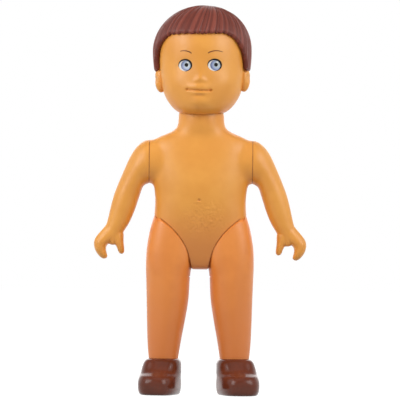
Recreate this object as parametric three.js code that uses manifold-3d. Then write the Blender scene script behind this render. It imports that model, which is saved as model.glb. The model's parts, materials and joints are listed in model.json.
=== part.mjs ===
// A jointed play doll that stands with its arms down, about 200 mm tall.
// Millimetres, +Z up. The doll faces -Y and its own left side is +X.
// Pieces of the left side are modelled once, and the right side is their mirror image.
import * as THREE from 'three';
import { mergeVertices } from 'three/addons/utils/BufferGeometryUtils.js';
import Module from 'manifold-3d';

const wasm = await Module();
wasm.setup();

// Fits and walls
const FIT = 0.3; // clearance between pieces that touch or turn on each other
const WALL = 2.2; // moulded wall of the hollow pieces

// Shoes
const SHOE_HEIGHT = 19.2;
const TOE_HALF_WIDTH = 11.8; // the shoe tapers from this at the tip of the toe
const HEEL_HALF_WIDTH = 8.8; // to this at the back of the heel
const TOE_REACH = 24.5; // from the ankle to the tip of the toe cap
const HEEL_REACH = 12.4;
const TOE_CAP_HEIGHT = 9.4;
const TOE_OUT = THREE.MathUtils.degToRad(12);
const SHOE_EDGE = 1; // rounding of the shoe's lower edge
const COLLAR_WALL = 0.9; // shoe top round the ankle
const COLLAR_DEPTH = 2.5; // how far the leg sinks into the shoe top
const PLUG_LENGTH = 7; // shoe plug inside the hollow ankle
const SOLE_THICKNESS = 2.2;
const SOLE_LEDGE = 1.2; // ledge in the shoe that the sole rests against

// Legs, measured from the shoe top upwards
const LEG_LENGTH = 47.8; // shoe top to the middle of the hip ball
const ANKLE_X = 18.1;
const ANKLE_HALF_WIDTH = 7.4;
const ANKLE_HALF_DEPTH = 8.4;
const CALF_HALF_WIDTH = 9.75;
const CALF_HALF_DEPTH = 10.6;
const THIGH_HALF_WIDTH = 11.3;
const THIGH_HALF_DEPTH = 12.6;
const THIGH_INNER = 4.9; // gap from the middle plane to the inside of the thigh
const LEG_HOLLOW_STOP = 12; // solid thigh left below the middle of the hip ball

// Hips
const HIP_BALL_RADIUS = 26;
const HIP_RIM_RADIUS = 18.6; // edge of the dome that runs in the trunk's socket
const HIP_TILT = THREE.MathUtils.degToRad(30); // hip axis below the horizontal
const CROTCH_HALF_WIDTH = 3.5;
const CROTCH_DROP = 2.6; // lowest point of the trunk below the middle of the hip ball

// Trunk
const HIP_HALF_WIDTH = 23.7;
const HIP_FRONT = 13.8;
const SEAT_BACK = 14.5;
const WAIST_RISE = 33; // from the middle of the hip ball to the waist
const WAIST_HALF_WIDTH = 23.3;
const BELLY_FRONT = 14.6;
const WAIST_BACK = 11.8;
const CHEST_HALF_WIDTH = 24.7;
const CHEST_FRONT = 13;
const CHEST_BACK = 11.8;
const SHOULDER_RISE = 19.9; // from the waist to the arm axis
const SHOULDER_RADIUS = 10.5;
const SHOULDER_FACE = 26.4; // flat shoulder face from the middle plane
const SHOULDER_WALL = 3.5;
const SHOULDER_SLOPE = 5; // rise of the shoulders from the arm to the neck
const NECK_RADIUS = 11.7;
const NECK_LENGTH = 10.6;

// Joint hubs in the shoulders and hips
const HUB_RADIUS = 3;
const HUB_FLANGE_RADIUS = 4.2;
const HUB_FLANGE = 1.8;
const HUB_GRIP = 6.5; // length pressed into the limb

// Neck joint
const PEG_RADIUS = 3.7;
const PEG_FLANGE_RADIUS = 6.5;
const PEG_FLANGE = 2;
const PEG_BARB = 1.2; // how far the snap end stands out from the peg
const PEG_BARB_LENGTH = 3;
const SOCKET_WALL = 2;
const SOCKET_FLANGE = 1.2;

// Arms
const ARM_SPREAD = 17; // from the shoulder face out to the middle of the wrist
const ARM_DROP = 35.4; // from the arm axis down to the wrist
const ARM_BOW = 1.2; // how far the arm bends outwards
const SHOULDER_CAP = 9.5; // bulge of the shoulder out from its flat face
const UPPER_ARM_HALF_WIDTH = 6.2;
const UPPER_ARM_HALF_DEPTH = 7.2;
const FOREARM_HALF_WIDTH = 5.9;
const FOREARM_HALF_DEPTH = 5.8;
const WRIST_HALF_WIDTH = 4.9;
const WRIST_HALF_DEPTH = 4.3;
const HAND_RADIUS = 8;
const HAND_HALF_DEPTH = 4.2;
const PALM_OFFSET = 7.2; // wrist to the middle of the hand
const HAND_LEAN = THREE.MathUtils.degToRad(24); // hand turned outwards from hanging straight
const GRIP_RADIUS = 3.4;
const GRIP_OFFSET = 4.2; // middle of the hand to the middle of the grip
const GRIP_TURN = THREE.MathUtils.degToRad(21); // opening turned in towards the leg

// Head and hair
const CHIN_OVERLAP = 3; // how far the chin hangs below the top of the neck
const HEAD_DOME = 24; // from the widest part of the skull to its top
const HEAD_RISE = 29; // widest part of the skull above the chin
const HEAD_HALF_WIDTH = 22.4;
const HEAD_FRONT = 21.6;
const HEAD_BACK = 22.8;
const CHIN_HALF_WIDTH = 9.6;
const CHIN_FRONT = 15.5;
const JAW_RISE = 7;
const JAW_HALF_WIDTH = 17.4;
const JAW_FRONT = 21.2;
const CHEEK_RISE = 15.3;
const CHEEK_HALF_WIDTH = 20.9;
const CHEEK_FRONT = 22;
const HEAD_TURN = THREE.MathUtils.degToRad(-3.5);
const NOSE_RISE = 17.8;
const NOSE_RADIUS = 2.7;
const EAR_RISE = 17;
const EAR_OUT = 24.5;
const EAR_HALF_HEIGHT = 5.2;
const EAR_HALF_LENGTH = 4;
const EAR_HALF_THICKNESS = 2.8;
const EAR_ROOT = 2; // how far the ear reaches into the cheek
const CROWN_RADIUS = 12; // opening in the top of the head, under the hair
const CROWN_PLUG = 5; // depth of the hair's plug in that opening
const HAIR_HALF_WIDTH = 25.8;
const HAIR_FRONT = 24.4;
const HAIR_BACK = 26;
const HAIR_TAPER = 4.5; // how far the hair draws in at the nape
const HAIR_RISE = 33.4; // widest part of the hair above the chin
const HAIR_DOME = 23.3; // from the widest part to the top
const FRINGE_RISE = 41.9; // lower edge of the fringe above the chin
const FRINGE_CORNER = 9; // rounding where the fringe turns down to the temples
const FACE_HALF_WIDTH = 21;
const TEMPLE_FRONT = 5; // the hair beside the face starts this far in front of the arm axis
const SIDEBURN_RISE = 22.6; // lower edge of the hair above the ears, from the chin
const NAPE_RISE = 9;
const NAPE_BACK = 9; // where the lower edge of the hair drops behind the ears

// Heights worked out from the sizes above
const HIP_Z = SHOE_HEIGHT + LEG_LENGTH;
const HIP_X = CROTCH_HALF_WIDTH + HIP_BALL_RADIUS;
const CROTCH_Z = HIP_Z - CROTCH_DROP;
const WAIST_Z = HIP_Z + WAIST_RISE;
const SHOULDER_Z = WAIST_Z + SHOULDER_RISE;
const NECK_Z = SHOULDER_Z + SHOULDER_RADIUS + SHOULDER_SLOPE;
const NECK_TOP = NECK_Z + NECK_LENGTH;
const CHIN_Z = NECK_TOP - CHIN_OVERLAP;
const LEG_FOOT_Z = SHOE_HEIGHT - COLLAR_DEPTH;
const HEAD_TOP = CHIN_Z + HEAD_RISE + HEAD_DOME;
const HEAD_FLOOR = NECK_TOP + FIT; // underside of the head's floor, over the neck
const SKETCH_REACH = 100; // cutting solids run this far past the doll

// Facet counts
const BODY_SIDES = 28;
const LIMB_SIDES = 20;
const ROUND_SIDES = 24;
const HUB_SIDES = 16;
const HOLLOW_SIDES = 16;

const COLOURS = {
  skin: { color: 0xe8a55a, roughness: 0.45, metalness: 0 },
  legs: { color: 0xd98a48, roughness: 0.42, metalness: 0 },
  hair: { color: 0x7a4434, roughness: 0.5, metalness: 0 },
  shoes: { color: 0x6b3424, roughness: 0.25, metalness: 0 },
  hubs: { color: 0xe2d8c4, roughness: 0.5, metalness: 0 },
};

// Solids: closed meshes with shared vertices, ready to be joined and cut

function toSolid(geometry) {
  const bare = geometry.clone();
  bare.deleteAttribute('normal');
  bare.deleteAttribute('uv');
  const merged = mergeVertices(bare, 1e-4);
  const corners = [];
  for (let i = 0; i < merged.index.count; i += 3) {
    const triangle = [0, 1, 2].map((k) => merged.index.getX(i + k));
    if (new Set(triangle).size === 3) corners.push(...triangle);
  }
  return new wasm.Manifold(new wasm.Mesh({
    numProp: 3,
    vertProperties: new Float32Array(merged.attributes.position.array),
    triVerts: new Uint32Array(corners),
  }));
}

function toGeometry(solid) {
  const mesh = solid.getMesh();
  const geometry = new THREE.BufferGeometry();
  geometry.setAttribute('position', new THREE.BufferAttribute(new Float32Array(mesh.vertProperties), 3));
  geometry.setIndex(new THREE.BufferAttribute(new Uint32Array(mesh.triVerts), 1));
  geometry.computeVertexNormals();
  return geometry;
}

function box(low, high) {
  const size = high.map((value, axis) => value - low[axis]);
  const middle = high.map((value, axis) => (value + low[axis]) / 2);
  return toSolid(new THREE.BoxGeometry(...size).translate(...middle));
}

function ellipsoid(middle, halves, sides) {
  const ball = new THREE.SphereGeometry(1, sides, sides / 2);
  return toSolid(ball.rotateX(Math.PI / 2).scale(...halves).translate(...middle));
}

// A round solid about +Z from [radius, height] corners that start and end on the axis
function turned(corners, sides = ROUND_SIDES) {
  const points = corners.map(([radius, height]) => new THREE.Vector2(radius, height));
  return new THREE.LatheGeometry(points, sides).rotateX(Math.PI / 2);
}

function pillar(radius, low, high) {
  return toSolid(turned([[0, low], [radius, low], [radius, high], [0, high]]));
}

// The same solid on the other side of the middle plane
function mirrored(solid) {
  const geometry = toGeometry(solid).scale(-1, 1, 1);
  const index = geometry.index;
  for (let i = 0; i < index.count; i += 3) {
    const first = index.getX(i);
    index.setX(i, index.getX(i + 1));
    index.setX(i + 1, first);
  }
  return toSolid(geometry);
}

// A skin over rings of equal count, each anticlockwise seen from the far end, closed at both ends
function loft(rings) {
  const count = rings[0].length;
  const points = rings.flat();
  const corners = [];
  const last = (rings.length - 1) * count;
  const middleOf = (ring) => ring.reduce((sum, p) => sum.add(p), new THREE.Vector3()).divideScalar(count);
  points.push(middleOf(rings[0]), middleOf(rings[rings.length - 1]));
  for (let j = 0; j < count; j += 1) {
    const next = (j + 1) % count;
    for (let row = 0; row < last; row += count) {
      corners.push(row + j, row + next, row + count + next);
      corners.push(row + j, row + count + next, row + count + j);
    }
    corners.push(points.length - 2, next, j);
    corners.push(points.length - 1, last + j, last + next);
  }
  const geometry = new THREE.BufferGeometry().setFromPoints(points);
  geometry.setIndex(corners);
  return toSolid(geometry);
}

// A level ring: a rounded oval whose power makes its corners fuller
function oval({ x = 0, y = 0, z, halfWidth, front, back, power }, sides) {
  return Array.from({ length: sides }, (_, i) => {
    const angle = (2 * Math.PI * i) / sides;
    const across = Math.cos(angle);
    const along = Math.sin(angle);
    const depth = along < 0 ? front : back;
    return new THREE.Vector3(
      x + halfWidth * Math.sign(across) * Math.abs(across) ** (2 / power),
      y + depth * Math.sign(along) * Math.abs(along) ** (2 / power),
      z,
    );
  });
}

// A smooth curve through sections given at rising heights
function profile(keys) {
  const names = Object.keys(keys[0]).filter((name) => name !== 'z');
  const heights = keys.map((key) => key.z);
  const values = keys.flatMap((key) => names.map((name) => key[name]));
  const curve = new THREE.CubicInterpolant(heights, values, names.length);
  return (z) => {
    const result = curve.evaluate(z);
    return Object.fromEntries([['z', z], ...names.map((name, i) => [name, result[i]])]);
  };
}

// The sections at every key height, with even steps between them
function rows(keys, steps) {
  const at = profile(keys);
  const sections = [];
  for (let i = 0; i + 1 < keys.length; i += 1) {
    for (let k = 0; k < steps; k += 1) {
      sections.push(at(THREE.MathUtils.lerp(keys[i].z, keys[i + 1].z, k / steps)));
    }
  }
  sections.push({ ...keys[keys.length - 1] });
  return sections;
}

// Sections moved out by a distance, or in by a negative one, with their ends moved as well
function offset(sections, distance) {
  const low = sections[0].z;
  const high = sections[sections.length - 1].z;
  const middle = (low + high) / 2;
  const stretch = 1 + (2 * distance) / (high - low);
  return sections.map((section) => ({
    ...section,
    z: middle + (section.z - middle) * stretch,
    halfWidth: section.halfWidth + distance,
    front: section.front + distance,
    back: section.back + distance,
  }));
}

function loftOvals(sections, sides) {
  return loft(sections.map((section) => oval(section, sides)));
}

// Hip joint: a ball whose axis leans down and outwards, square to the slanting seam

const hipInward = new THREE.Vector3(-Math.cos(HIP_TILT), 0, Math.sin(HIP_TILT));
const hipMiddle = new THREE.Vector3(HIP_X, 0, HIP_Z);

// Places a shape made about +Z, whose origin is the middle of the ball, on the hip axis
function onHipAxis(geometry) {
  const turn = new THREE.Quaternion().setFromUnitVectors(new THREE.Vector3(0, 0, 1), hipInward);
  return geometry.applyQuaternion(turn).translate(hipMiddle.x, hipMiddle.y, hipMiddle.z);
}

// The ball of the hip, turned about the hip axis so that its facets run round with the leg
function hipBall(gap) {
  const radius = HIP_BALL_RADIUS + gap;
  const arc = Array.from({ length: HUB_SIDES + 1 }, (_, i) => {
    const angle = Math.PI * (i / HUB_SIDES - 0.5);
    return [radius * Math.cos(angle), radius * Math.sin(angle)];
  });
  arc[0][0] = 0;
  arc[HUB_SIDES][0] = 0;
  return toSolid(onHipAxis(turned(arc, ROUND_SIDES)));
}

// The room that the leg keeps: the ball, and everything below the plane of its rim
function hipRoom(gap) {
  const rim = Math.sqrt(HIP_BALL_RADIUS ** 2 - HIP_RIM_RADIUS ** 2) + gap;
  const reach = 4 * HIP_BALL_RADIUS;
  const below = new THREE.BoxGeometry(reach, reach, reach).translate(0, 0, rim - reach / 2);
  return hipBall(gap).add(toSolid(onHipAxis(below)));
}

// Hubs: a flange held inside the trunk wall and a round end pressed into the limb
function hub(outer, seat) {
  const bevel = HUB_RADIUS / 4;
  return turned([
    [0, outer],
    [HUB_RADIUS - bevel, outer],
    [HUB_RADIUS, outer + bevel],
    [HUB_RADIUS, seat],
    [HUB_FLANGE_RADIUS, seat],
    [HUB_FLANGE_RADIUS, seat + HUB_FLANGE],
    [0, seat + HUB_FLANGE],
  ], HUB_SIDES);
}

const hipSeat = HIP_BALL_RADIUS + FIT + WALL + FIT;
const hipHubEnd = HIP_BALL_RADIUS - HUB_GRIP;
const shoulderSeat = -(SHOULDER_FACE - SHOULDER_WALL - FIT);
const shoulderHubEnd = -(SHOULDER_FACE + FIT + HUB_GRIP);

// Places a shape made about +Z, with the middle plane at its origin, on the arm axis
function onArmAxis(geometry) {
  return geometry.rotateY(-Math.PI / 2).translate(0, 0, SHOULDER_Z);
}

function bore(outer, inner) {
  const radius = HUB_RADIUS + FIT;
  return turned([[0, outer], [radius, outer], [radius, inner], [0, inner]], HUB_SIDES);
}

// Trunk

const trunkKeys = [
  { z: CROTCH_Z, halfWidth: THIGH_HALF_WIDTH, front: HIP_FRONT / 2, back: SEAT_BACK / 2, power: 2.4 },
  { z: CROTCH_Z + 2, halfWidth: 2 * THIGH_HALF_WIDTH, front: HIP_FRONT - 4, back: SEAT_BACK - 3, power: 2.4 },
  { z: HIP_Z + 5, halfWidth: HIP_HALF_WIDTH + 3, front: HIP_FRONT - 1.8, back: SEAT_BACK - 0.7, power: 2.4 },
  { z: WAIST_Z - 10, halfWidth: HIP_HALF_WIDTH, front: HIP_FRONT, back: SEAT_BACK, power: 2.4 },
  { z: WAIST_Z, halfWidth: WAIST_HALF_WIDTH, front: BELLY_FRONT, back: WAIST_BACK, power: 2.4 },
  {
    z: SHOULDER_Z - SHOULDER_RADIUS,
    halfWidth: CHEST_HALF_WIDTH,
    front: CHEST_FRONT,
    back: CHEST_BACK,
    power: 2.6,
  },
  { z: SHOULDER_Z, halfWidth: SHOULDER_FACE + 2, front: CHEST_FRONT - 1, back: CHEST_BACK, power: 4 },
  {
    z: SHOULDER_Z + SHOULDER_RADIUS - 2,
    halfWidth: SHOULDER_FACE,
    front: CHEST_FRONT - 3,
    back: CHEST_BACK - 1.4,
    power: 3,
  },
  {
    z: SHOULDER_Z + SHOULDER_RADIUS + 2,
    halfWidth: NECK_RADIUS + 8,
    front: NECK_RADIUS - 1.9,
    back: NECK_RADIUS - 1.5,
    power: 2.2,
  },
  { z: NECK_Z, halfWidth: NECK_RADIUS + 1.4, front: NECK_RADIUS - 0.8, back: NECK_RADIUS - 0.8, power: 2 },
  { z: NECK_Z + 3, halfWidth: NECK_RADIUS, front: NECK_RADIUS, back: NECK_RADIUS, power: 2 },
  { z: NECK_TOP, halfWidth: NECK_RADIUS, front: NECK_RADIUS, back: NECK_RADIUS, power: 2 },
];

function trunkHalves() {
  const shoulders = toSolid(onArmAxis(turned([
    [0, -SHOULDER_FACE],
    [SHOULDER_RADIUS, -SHOULDER_FACE],
    [SHOULDER_RADIUS, SHOULDER_FACE],
    [0, SHOULDER_FACE],
  ], BODY_SIDES)));
  const pocket = toSolid(onArmAxis(turned([
    [0, shoulderSeat - FIT],
    [HUB_FLANGE_RADIUS + FIT, shoulderSeat - FIT],
    [HUB_FLANGE_RADIUS + FIT, shoulderSeat + HUB_FLANGE + FIT],
    [0, shoulderSeat + HUB_FLANGE + FIT],
  ])));
  const armHole = toSolid(onArmAxis(bore(-SHOULDER_FACE - WALL, shoulderSeat)));
  const hipHole = toSolid(onHipAxis(bore(HIP_BALL_RADIUS - WALL, hipSeat + WALL)));
  const holes = pocket.add(armHole).add(hipHole);
  const socketWall = hipBall(FIT + WALL);
  const room = hipRoom(FIT);
  const far = SKETCH_REACH;
  const hollow = loftOvals(offset(rows(trunkKeys, 1), -WALL), HOLLOW_SIDES)
    .subtract(socketWall)
    .subtract(mirrored(socketWall));
  const trunk = loftOvals(rows(trunkKeys, 2), BODY_SIDES)
    .add(shoulders)
    .intersect(box([-SHOULDER_FACE, -far, 0], [SHOULDER_FACE, far, NECK_TOP]))
    .subtract(room)
    .subtract(mirrored(room))
    .subtract(hollow)
    .subtract(holes)
    .subtract(mirrored(holes))
    .subtract(pillar(PEG_RADIUS + FIT, NECK_TOP - 2 * WALL, NECK_TOP + WALL));
  return {
    front: trunk.intersect(box([-far, -far, 0], [far, -FIT / 2, NECK_TOP + far])),
    back: trunk.intersect(box([-far, FIT / 2, 0], [far, far, NECK_TOP + far])),
  };
}

// Neck joint

function neckPeg() {
  const seat = NECK_TOP - WALL - FIT;
  const barb = HEAD_FLOOR + WALL + FIT + SOCKET_FLANGE + FIT;
  return turned([
    [0, seat - PEG_FLANGE],
    [PEG_FLANGE_RADIUS, seat - PEG_FLANGE],
    [PEG_FLANGE_RADIUS, seat],
    [PEG_RADIUS, seat],
    [PEG_RADIUS, barb],
    [PEG_RADIUS + PEG_BARB, barb],
    [PEG_RADIUS, barb + PEG_BARB_LENGTH],
    [0, barb + PEG_BARB_LENGTH],
  ]);
}

const socketRadius = PEG_RADIUS + FIT + SOCKET_WALL;

function neckSocket() {
  const inside = PEG_RADIUS + FIT;
  const seat = HEAD_FLOOR + WALL + FIT;
  return turned([
    [inside, HEAD_FLOOR],
    [socketRadius, HEAD_FLOOR],
    [socketRadius, seat],
    [socketRadius + SOCKET_WALL, seat],
    [socketRadius + SOCKET_WALL, seat + SOCKET_FLANGE],
    [inside, seat + SOCKET_FLANGE],
    [inside, HEAD_FLOOR],
  ]);
}

// Head and hair

// Sections of a rounded crown that rises from one level section to a top
function dome(base, height) {
  const angles = [30, 55, 75, 85].map(THREE.MathUtils.degToRad);
  return angles.map((angle) => ({
    z: base.z + height * Math.sin(angle),
    halfWidth: base.halfWidth * Math.cos(angle),
    front: base.front * Math.cos(angle),
    back: base.back * Math.cos(angle),
    power: base.power,
  }));
}

function headSections(steps) {
  const skull = {
    z: CHIN_Z + HEAD_RISE,
    halfWidth: HEAD_HALF_WIDTH,
    front: HEAD_FRONT,
    back: HEAD_BACK,
    power: 2.1,
  };
  const face = [
    { z: CHIN_Z, halfWidth: CHIN_HALF_WIDTH, front: CHIN_FRONT, back: CHIN_FRONT / 2, power: 2.1 },
    {
      z: CHIN_Z + JAW_RISE / 3,
      halfWidth: CHIN_HALF_WIDTH + 3.6,
      front: CHIN_FRONT + 3.4,
      back: NECK_RADIUS,
      power: 2.1,
    },
    { z: CHIN_Z + JAW_RISE, halfWidth: JAW_HALF_WIDTH, front: JAW_FRONT, back: JAW_HALF_WIDTH, power: 2.1 },
    {
      z: CHIN_Z + CHEEK_RISE,
      halfWidth: CHEEK_HALF_WIDTH,
      front: CHEEK_FRONT,
      back: CHEEK_HALF_WIDTH,
      power: 2.1,
    },
    skull,
  ];
  return rows([...face, ...dome(skull, HEAD_DOME)], steps);
}

// Each ear is round outside, and its inner half always reaches its root in the cheek
function ears(gap) {
  const middle = EAR_OUT - EAR_HALF_THICKNESS;
  const inner = Math.max(EAR_HALF_THICKNESS, middle - CHEEK_HALF_WIDTH + EAR_ROOT) + gap;
  const outer = EAR_HALF_THICKNESS + gap;
  const ball = new THREE.SphereGeometry(1, HUB_SIDES, HUB_SIDES / 2).rotateX(Math.PI / 2);
  const corners = ball.attributes.position;
  for (let i = 0; i < corners.count; i += 1) {
    const x = corners.getX(i);
    corners.setX(i, x * (x < 0 ? inner : outer));
  }
  ball.scale(1, EAR_HALF_LENGTH + gap, EAR_HALF_HEIGHT + gap);
  const left = toSolid(ball.translate(middle, 0, CHIN_Z + EAR_RISE));
  return left.add(mirrored(left));
}

function headShell() {
  const floorTop = HEAD_FLOOR + WALL;
  const neckRoom = NECK_RADIUS + 2 * FIT;
  const noseMiddle = [0, NOSE_RADIUS / 2 - CHEEK_FRONT, CHIN_Z + NOSE_RISE];
  const nose = ellipsoid(noseMiddle, Array(3).fill(NOSE_RADIUS), HUB_SIDES);
  const hollow = loftOvals(offset(headSections(1), -WALL), HOLLOW_SIDES)
    .subtract(pillar(neckRoom + WALL, CHIN_Z - WALL, floorTop));
  return loftOvals(headSections(2), BODY_SIDES)
    .add(ears(0))
    .add(nose)
    .subtract(hollow)
    .subtract(pillar(neckRoom, CHIN_Z - WALL, HEAD_FLOOR))
    .subtract(pillar(socketRadius + FIT, HEAD_FLOOR - WALL, floorTop + WALL))
    .subtract(pillar(CROWN_RADIUS, HEAD_TOP - HEAD_DOME / 2, HEAD_TOP + WALL));
}

// The opening for the face: straight at the temples, rounded up into the fringe
function faceOpening() {
  const top = CHIN_Z + FRINGE_RISE;
  const corner = FACE_HALF_WIDTH - FRINGE_CORNER;
  const outline = new THREE.Shape();
  outline.moveTo(-FACE_HALF_WIDTH, CHIN_Z - WALL);
  outline.lineTo(FACE_HALF_WIDTH, CHIN_Z - WALL);
  outline.absarc(corner, top - FRINGE_CORNER, FRINGE_CORNER, 0, Math.PI / 2);
  outline.absarc(-corner, top - FRINGE_CORNER, FRINGE_CORNER, Math.PI / 2, Math.PI);
  const depth = SKETCH_REACH;
  const window = new THREE.ExtrudeGeometry(outline, { depth, bevelEnabled: false, curveSegments: 8 });
  return toSolid(window.rotateX(Math.PI / 2).translate(0, -TEMPLE_FRONT, 0));
}

function hairCap() {
  const wide = {
    z: CHIN_Z + HAIR_RISE,
    halfWidth: HAIR_HALF_WIDTH,
    front: HAIR_FRONT,
    back: HAIR_BACK,
    power: 2,
  };
  const drawnIn = (z, distance) => ({
    z,
    halfWidth: wide.halfWidth - distance,
    front: wide.front - distance,
    back: wide.back - distance,
    power: wide.power,
  });
  const sides = [
    drawnIn(CHIN_Z, HAIR_TAPER + 2),
    drawnIn(CHIN_Z + NAPE_RISE, HAIR_TAPER),
    drawnIn(CHIN_Z + SIDEBURN_RISE, 1.2),
    wide,
  ];
  const far = SKETCH_REACH;
  const overEars = box([-far, -far, CHIN_Z - far], [far, NAPE_BACK, CHIN_Z + SIDEBURN_RISE]);
  const nape = box([-far, 0, CHIN_Z - far], [far, far, CHIN_Z + NAPE_RISE]);
  return loftOvals(rows([...sides, ...dome(wide, HAIR_DOME)], 2), BODY_SIDES)
    .subtract(loftOvals(offset(headSections(2), FIT), BODY_SIDES))
    .subtract(ears(FIT))
    .subtract(overEars.add(nape))
    .subtract(faceOpening())
    .add(pillar(CROWN_RADIUS - FIT, HEAD_TOP - CROWN_PLUG, HEAD_TOP + FIT));
}

// Arms

function armSolid() {
  const face = SHOULDER_FACE + FIT;
  const start = new THREE.Vector2(face + SHOULDER_CAP / 2, SHOULDER_Z);
  const wrist = new THREE.Vector2(face + ARM_SPREAD, SHOULDER_Z - ARM_DROP);
  const elbow = start.clone().lerp(wrist, 0.5).add(new THREE.Vector2(ARM_BOW, 0));
  const bone = new THREE.SplineCurve([start, elbow, wrist]);
  const lean = new THREE.Vector2(Math.sin(HAND_LEAN), -Math.cos(HAND_LEAN));
  const hand = wrist.clone().addScaledVector(lean, PALM_OFFSET);
  const girth = profile([
    { z: 0, width: SHOULDER_CAP / 2, depth: UPPER_ARM_HALF_DEPTH },
    { z: 0.25, width: UPPER_ARM_HALF_WIDTH, depth: UPPER_ARM_HALF_DEPTH },
    { z: 0.65, width: FOREARM_HALF_WIDTH, depth: FOREARM_HALF_DEPTH },
    { z: 1, width: WRIST_HALF_WIDTH, depth: WRIST_HALF_DEPTH },
  ]);
  const ring = (middle, tangent, width, depth) => Array.from({ length: LIMB_SIDES }, (_, i) => {
    const angle = (2 * Math.PI * i) / LIMB_SIDES;
    const across = width * Math.cos(angle);
    return new THREE.Vector3(
      middle.x + tangent.y * across,
      depth * Math.sin(angle),
      middle.y - tangent.x * across,
    );
  });
  const stations = Array.from({ length: 8 }, (_, i) => i / 7);
  const rings = stations.map((t) => {
    const { width, depth } = girth(t);
    return ring(bone.getPoint(t), bone.getTangent(t), width, depth);
  });
  rings.push(ring(hand, lean, WRIST_HALF_WIDTH, HAND_HALF_DEPTH - FIT));
  const palmProfile = Array.from({ length: 7 }, (_, i) => {
    const angle = Math.PI * (i / 6 - 0.5);
    return new THREE.Vector2(
      HAND_RADIUS * Math.cos(angle) ** 0.5,
      HAND_HALF_DEPTH * Math.sin(angle),
    );
  });
  const palm = new THREE.LatheGeometry(palmProfile, LIMB_SIDES).translate(hand.x, 0, hand.y);
  const cap = ellipsoid([face, 0, SHOULDER_Z], [SHOULDER_CAP, SHOULDER_RADIUS, SHOULDER_RADIUS], ROUND_SIDES);
  const far = SKETCH_REACH;
  return loft(rings)
    .add(toSolid(palm))
    .add(cap)
    .intersect(box([face, -far, 0], [far, far, SHOULDER_Z + far]))
    .subtract(gripOpening(hand))
    .subtract(toSolid(onArmAxis(bore(shoulderHubEnd - FIT, shoulderSeat))));
}

// The gap of the gripping hand: a round hollow that opens downwards and inwards
function gripOpening(hand) {
  const outline = new THREE.Shape();
  outline.absarc(0, 0, GRIP_RADIUS, 0, Math.PI);
  outline.lineTo(-GRIP_RADIUS, -2 * HAND_RADIUS);
  outline.lineTo(GRIP_RADIUS, -2 * HAND_RADIUS);
  const depth = 4 * HAND_HALF_DEPTH;
  const slot = new THREE.ExtrudeGeometry(outline, { depth, bevelEnabled: false, curveSegments: 8 });
  slot.translate(0, -GRIP_OFFSET, -depth / 2).rotateZ(-GRIP_TURN).rotateX(Math.PI / 2);
  return toSolid(slot.translate(hand.x, 0, hand.y));
}

// Legs

const thighX = THIGH_INNER + THIGH_HALF_WIDTH;
const calfX = (ANKLE_X + thighX) / 2;
const legKeys = [
  {
    z: LEG_FOOT_Z,
    x: ANKLE_X,
    halfWidth: ANKLE_HALF_WIDTH,
    front: ANKLE_HALF_DEPTH,
    back: ANKLE_HALF_DEPTH,
    power: 2.2,
  },
  {
    z: SHOE_HEIGHT + LEG_LENGTH * 0.45,
    x: calfX,
    halfWidth: CALF_HALF_WIDTH,
    front: CALF_HALF_DEPTH,
    back: CALF_HALF_DEPTH,
    power: 2.2,
  },
  {
    z: HIP_Z - 3,
    x: thighX,
    halfWidth: THIGH_HALF_WIDTH,
    front: THIGH_HALF_DEPTH,
    back: THIGH_HALF_DEPTH,
    power: 2.8,
  },
  {
    z: HIP_Z + HIP_BALL_RADIUS / 2,
    x: thighX - 0.7,
    halfWidth: THIGH_HALF_WIDTH - 0.4,
    front: THIGH_HALF_DEPTH + 0.4,
    back: THIGH_HALF_DEPTH + 0.6,
    power: 3.2,
  },
  {
    z: HIP_Z + HIP_BALL_RADIUS,
    x: thighX - 2.5,
    halfWidth: THIGH_HALF_WIDTH - 2.6,
    front: THIGH_HALF_DEPTH,
    back: THIGH_HALF_DEPTH,
    power: 3.2,
  },
];
const legAt = profile(legKeys);

// The leg's outline between two heights, moved out by a distance
function legBlock(low, high, distance, steps) {
  const sections = Array.from({ length: steps + 1 }, (_, i) => {
    const z = THREE.MathUtils.lerp(low, high, i / steps);
    const section = legAt(Math.max(z, LEG_FOOT_Z));
    return {
      ...section,
      z,
      halfWidth: section.halfWidth + distance,
      front: section.front + distance,
      back: section.back + distance,
    };
  });
  return loftOvals(sections, LIMB_SIDES);
}

function legSolid() {
  return legBlock(LEG_FOOT_Z, HIP_Z + HIP_BALL_RADIUS, 0, 14)
    .intersect(hipRoom(0))
    .subtract(legBlock(LEG_FOOT_Z - WALL, HIP_Z - LEG_HOLLOW_STOP, -WALL, 5))
    .subtract(toSolid(onHipAxis(bore(hipHubEnd - FIT, hipSeat))));
}

// Shoes

const collarHalfWidth = ANKLE_HALF_WIDTH + COLLAR_WALL;
const collarHalfLength = ANKLE_HALF_DEPTH + COLLAR_WALL;

// A ring of the lower shoe, drawn in by an inset and at the toe by more
function shoeKey(z, inset, toeInset) {
  return {
    z,
    toe: TOE_REACH - toeInset,
    heel: HEEL_REACH - inset,
    toeHalfWidth: TOE_HALF_WIDTH - inset,
    heelHalfWidth: HEEL_HALF_WIDTH - inset,
  };
}

// A ring round the ankle, as wide at the toe side as at the heel side
function collarKey(z, bulge, toe, heel) {
  const halfWidth = collarHalfWidth + bulge;
  return { z, toe, heel, toeHalfWidth: halfWidth, heelHalfWidth: halfWidth };
}

const shoeKeys = [
  shoeKey(0, SHOE_EDGE, SHOE_EDGE),
  shoeKey(SHOE_EDGE, 0.2, 0),
  shoeKey(TOE_CAP_HEIGHT - 3, 0, 0),
  shoeKey(TOE_CAP_HEIGHT, 0.5, 2.2),
  shoeKey(TOE_CAP_HEIGHT + 1.8, 0.8, 7),
  collarKey((TOE_CAP_HEIGHT + SHOE_HEIGHT) / 2 + 2, 0.4, collarHalfLength + 2, HEEL_REACH - 1),
  collarKey(SHOE_HEIGHT, 0, collarHalfLength, collarHalfLength),
];

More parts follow.
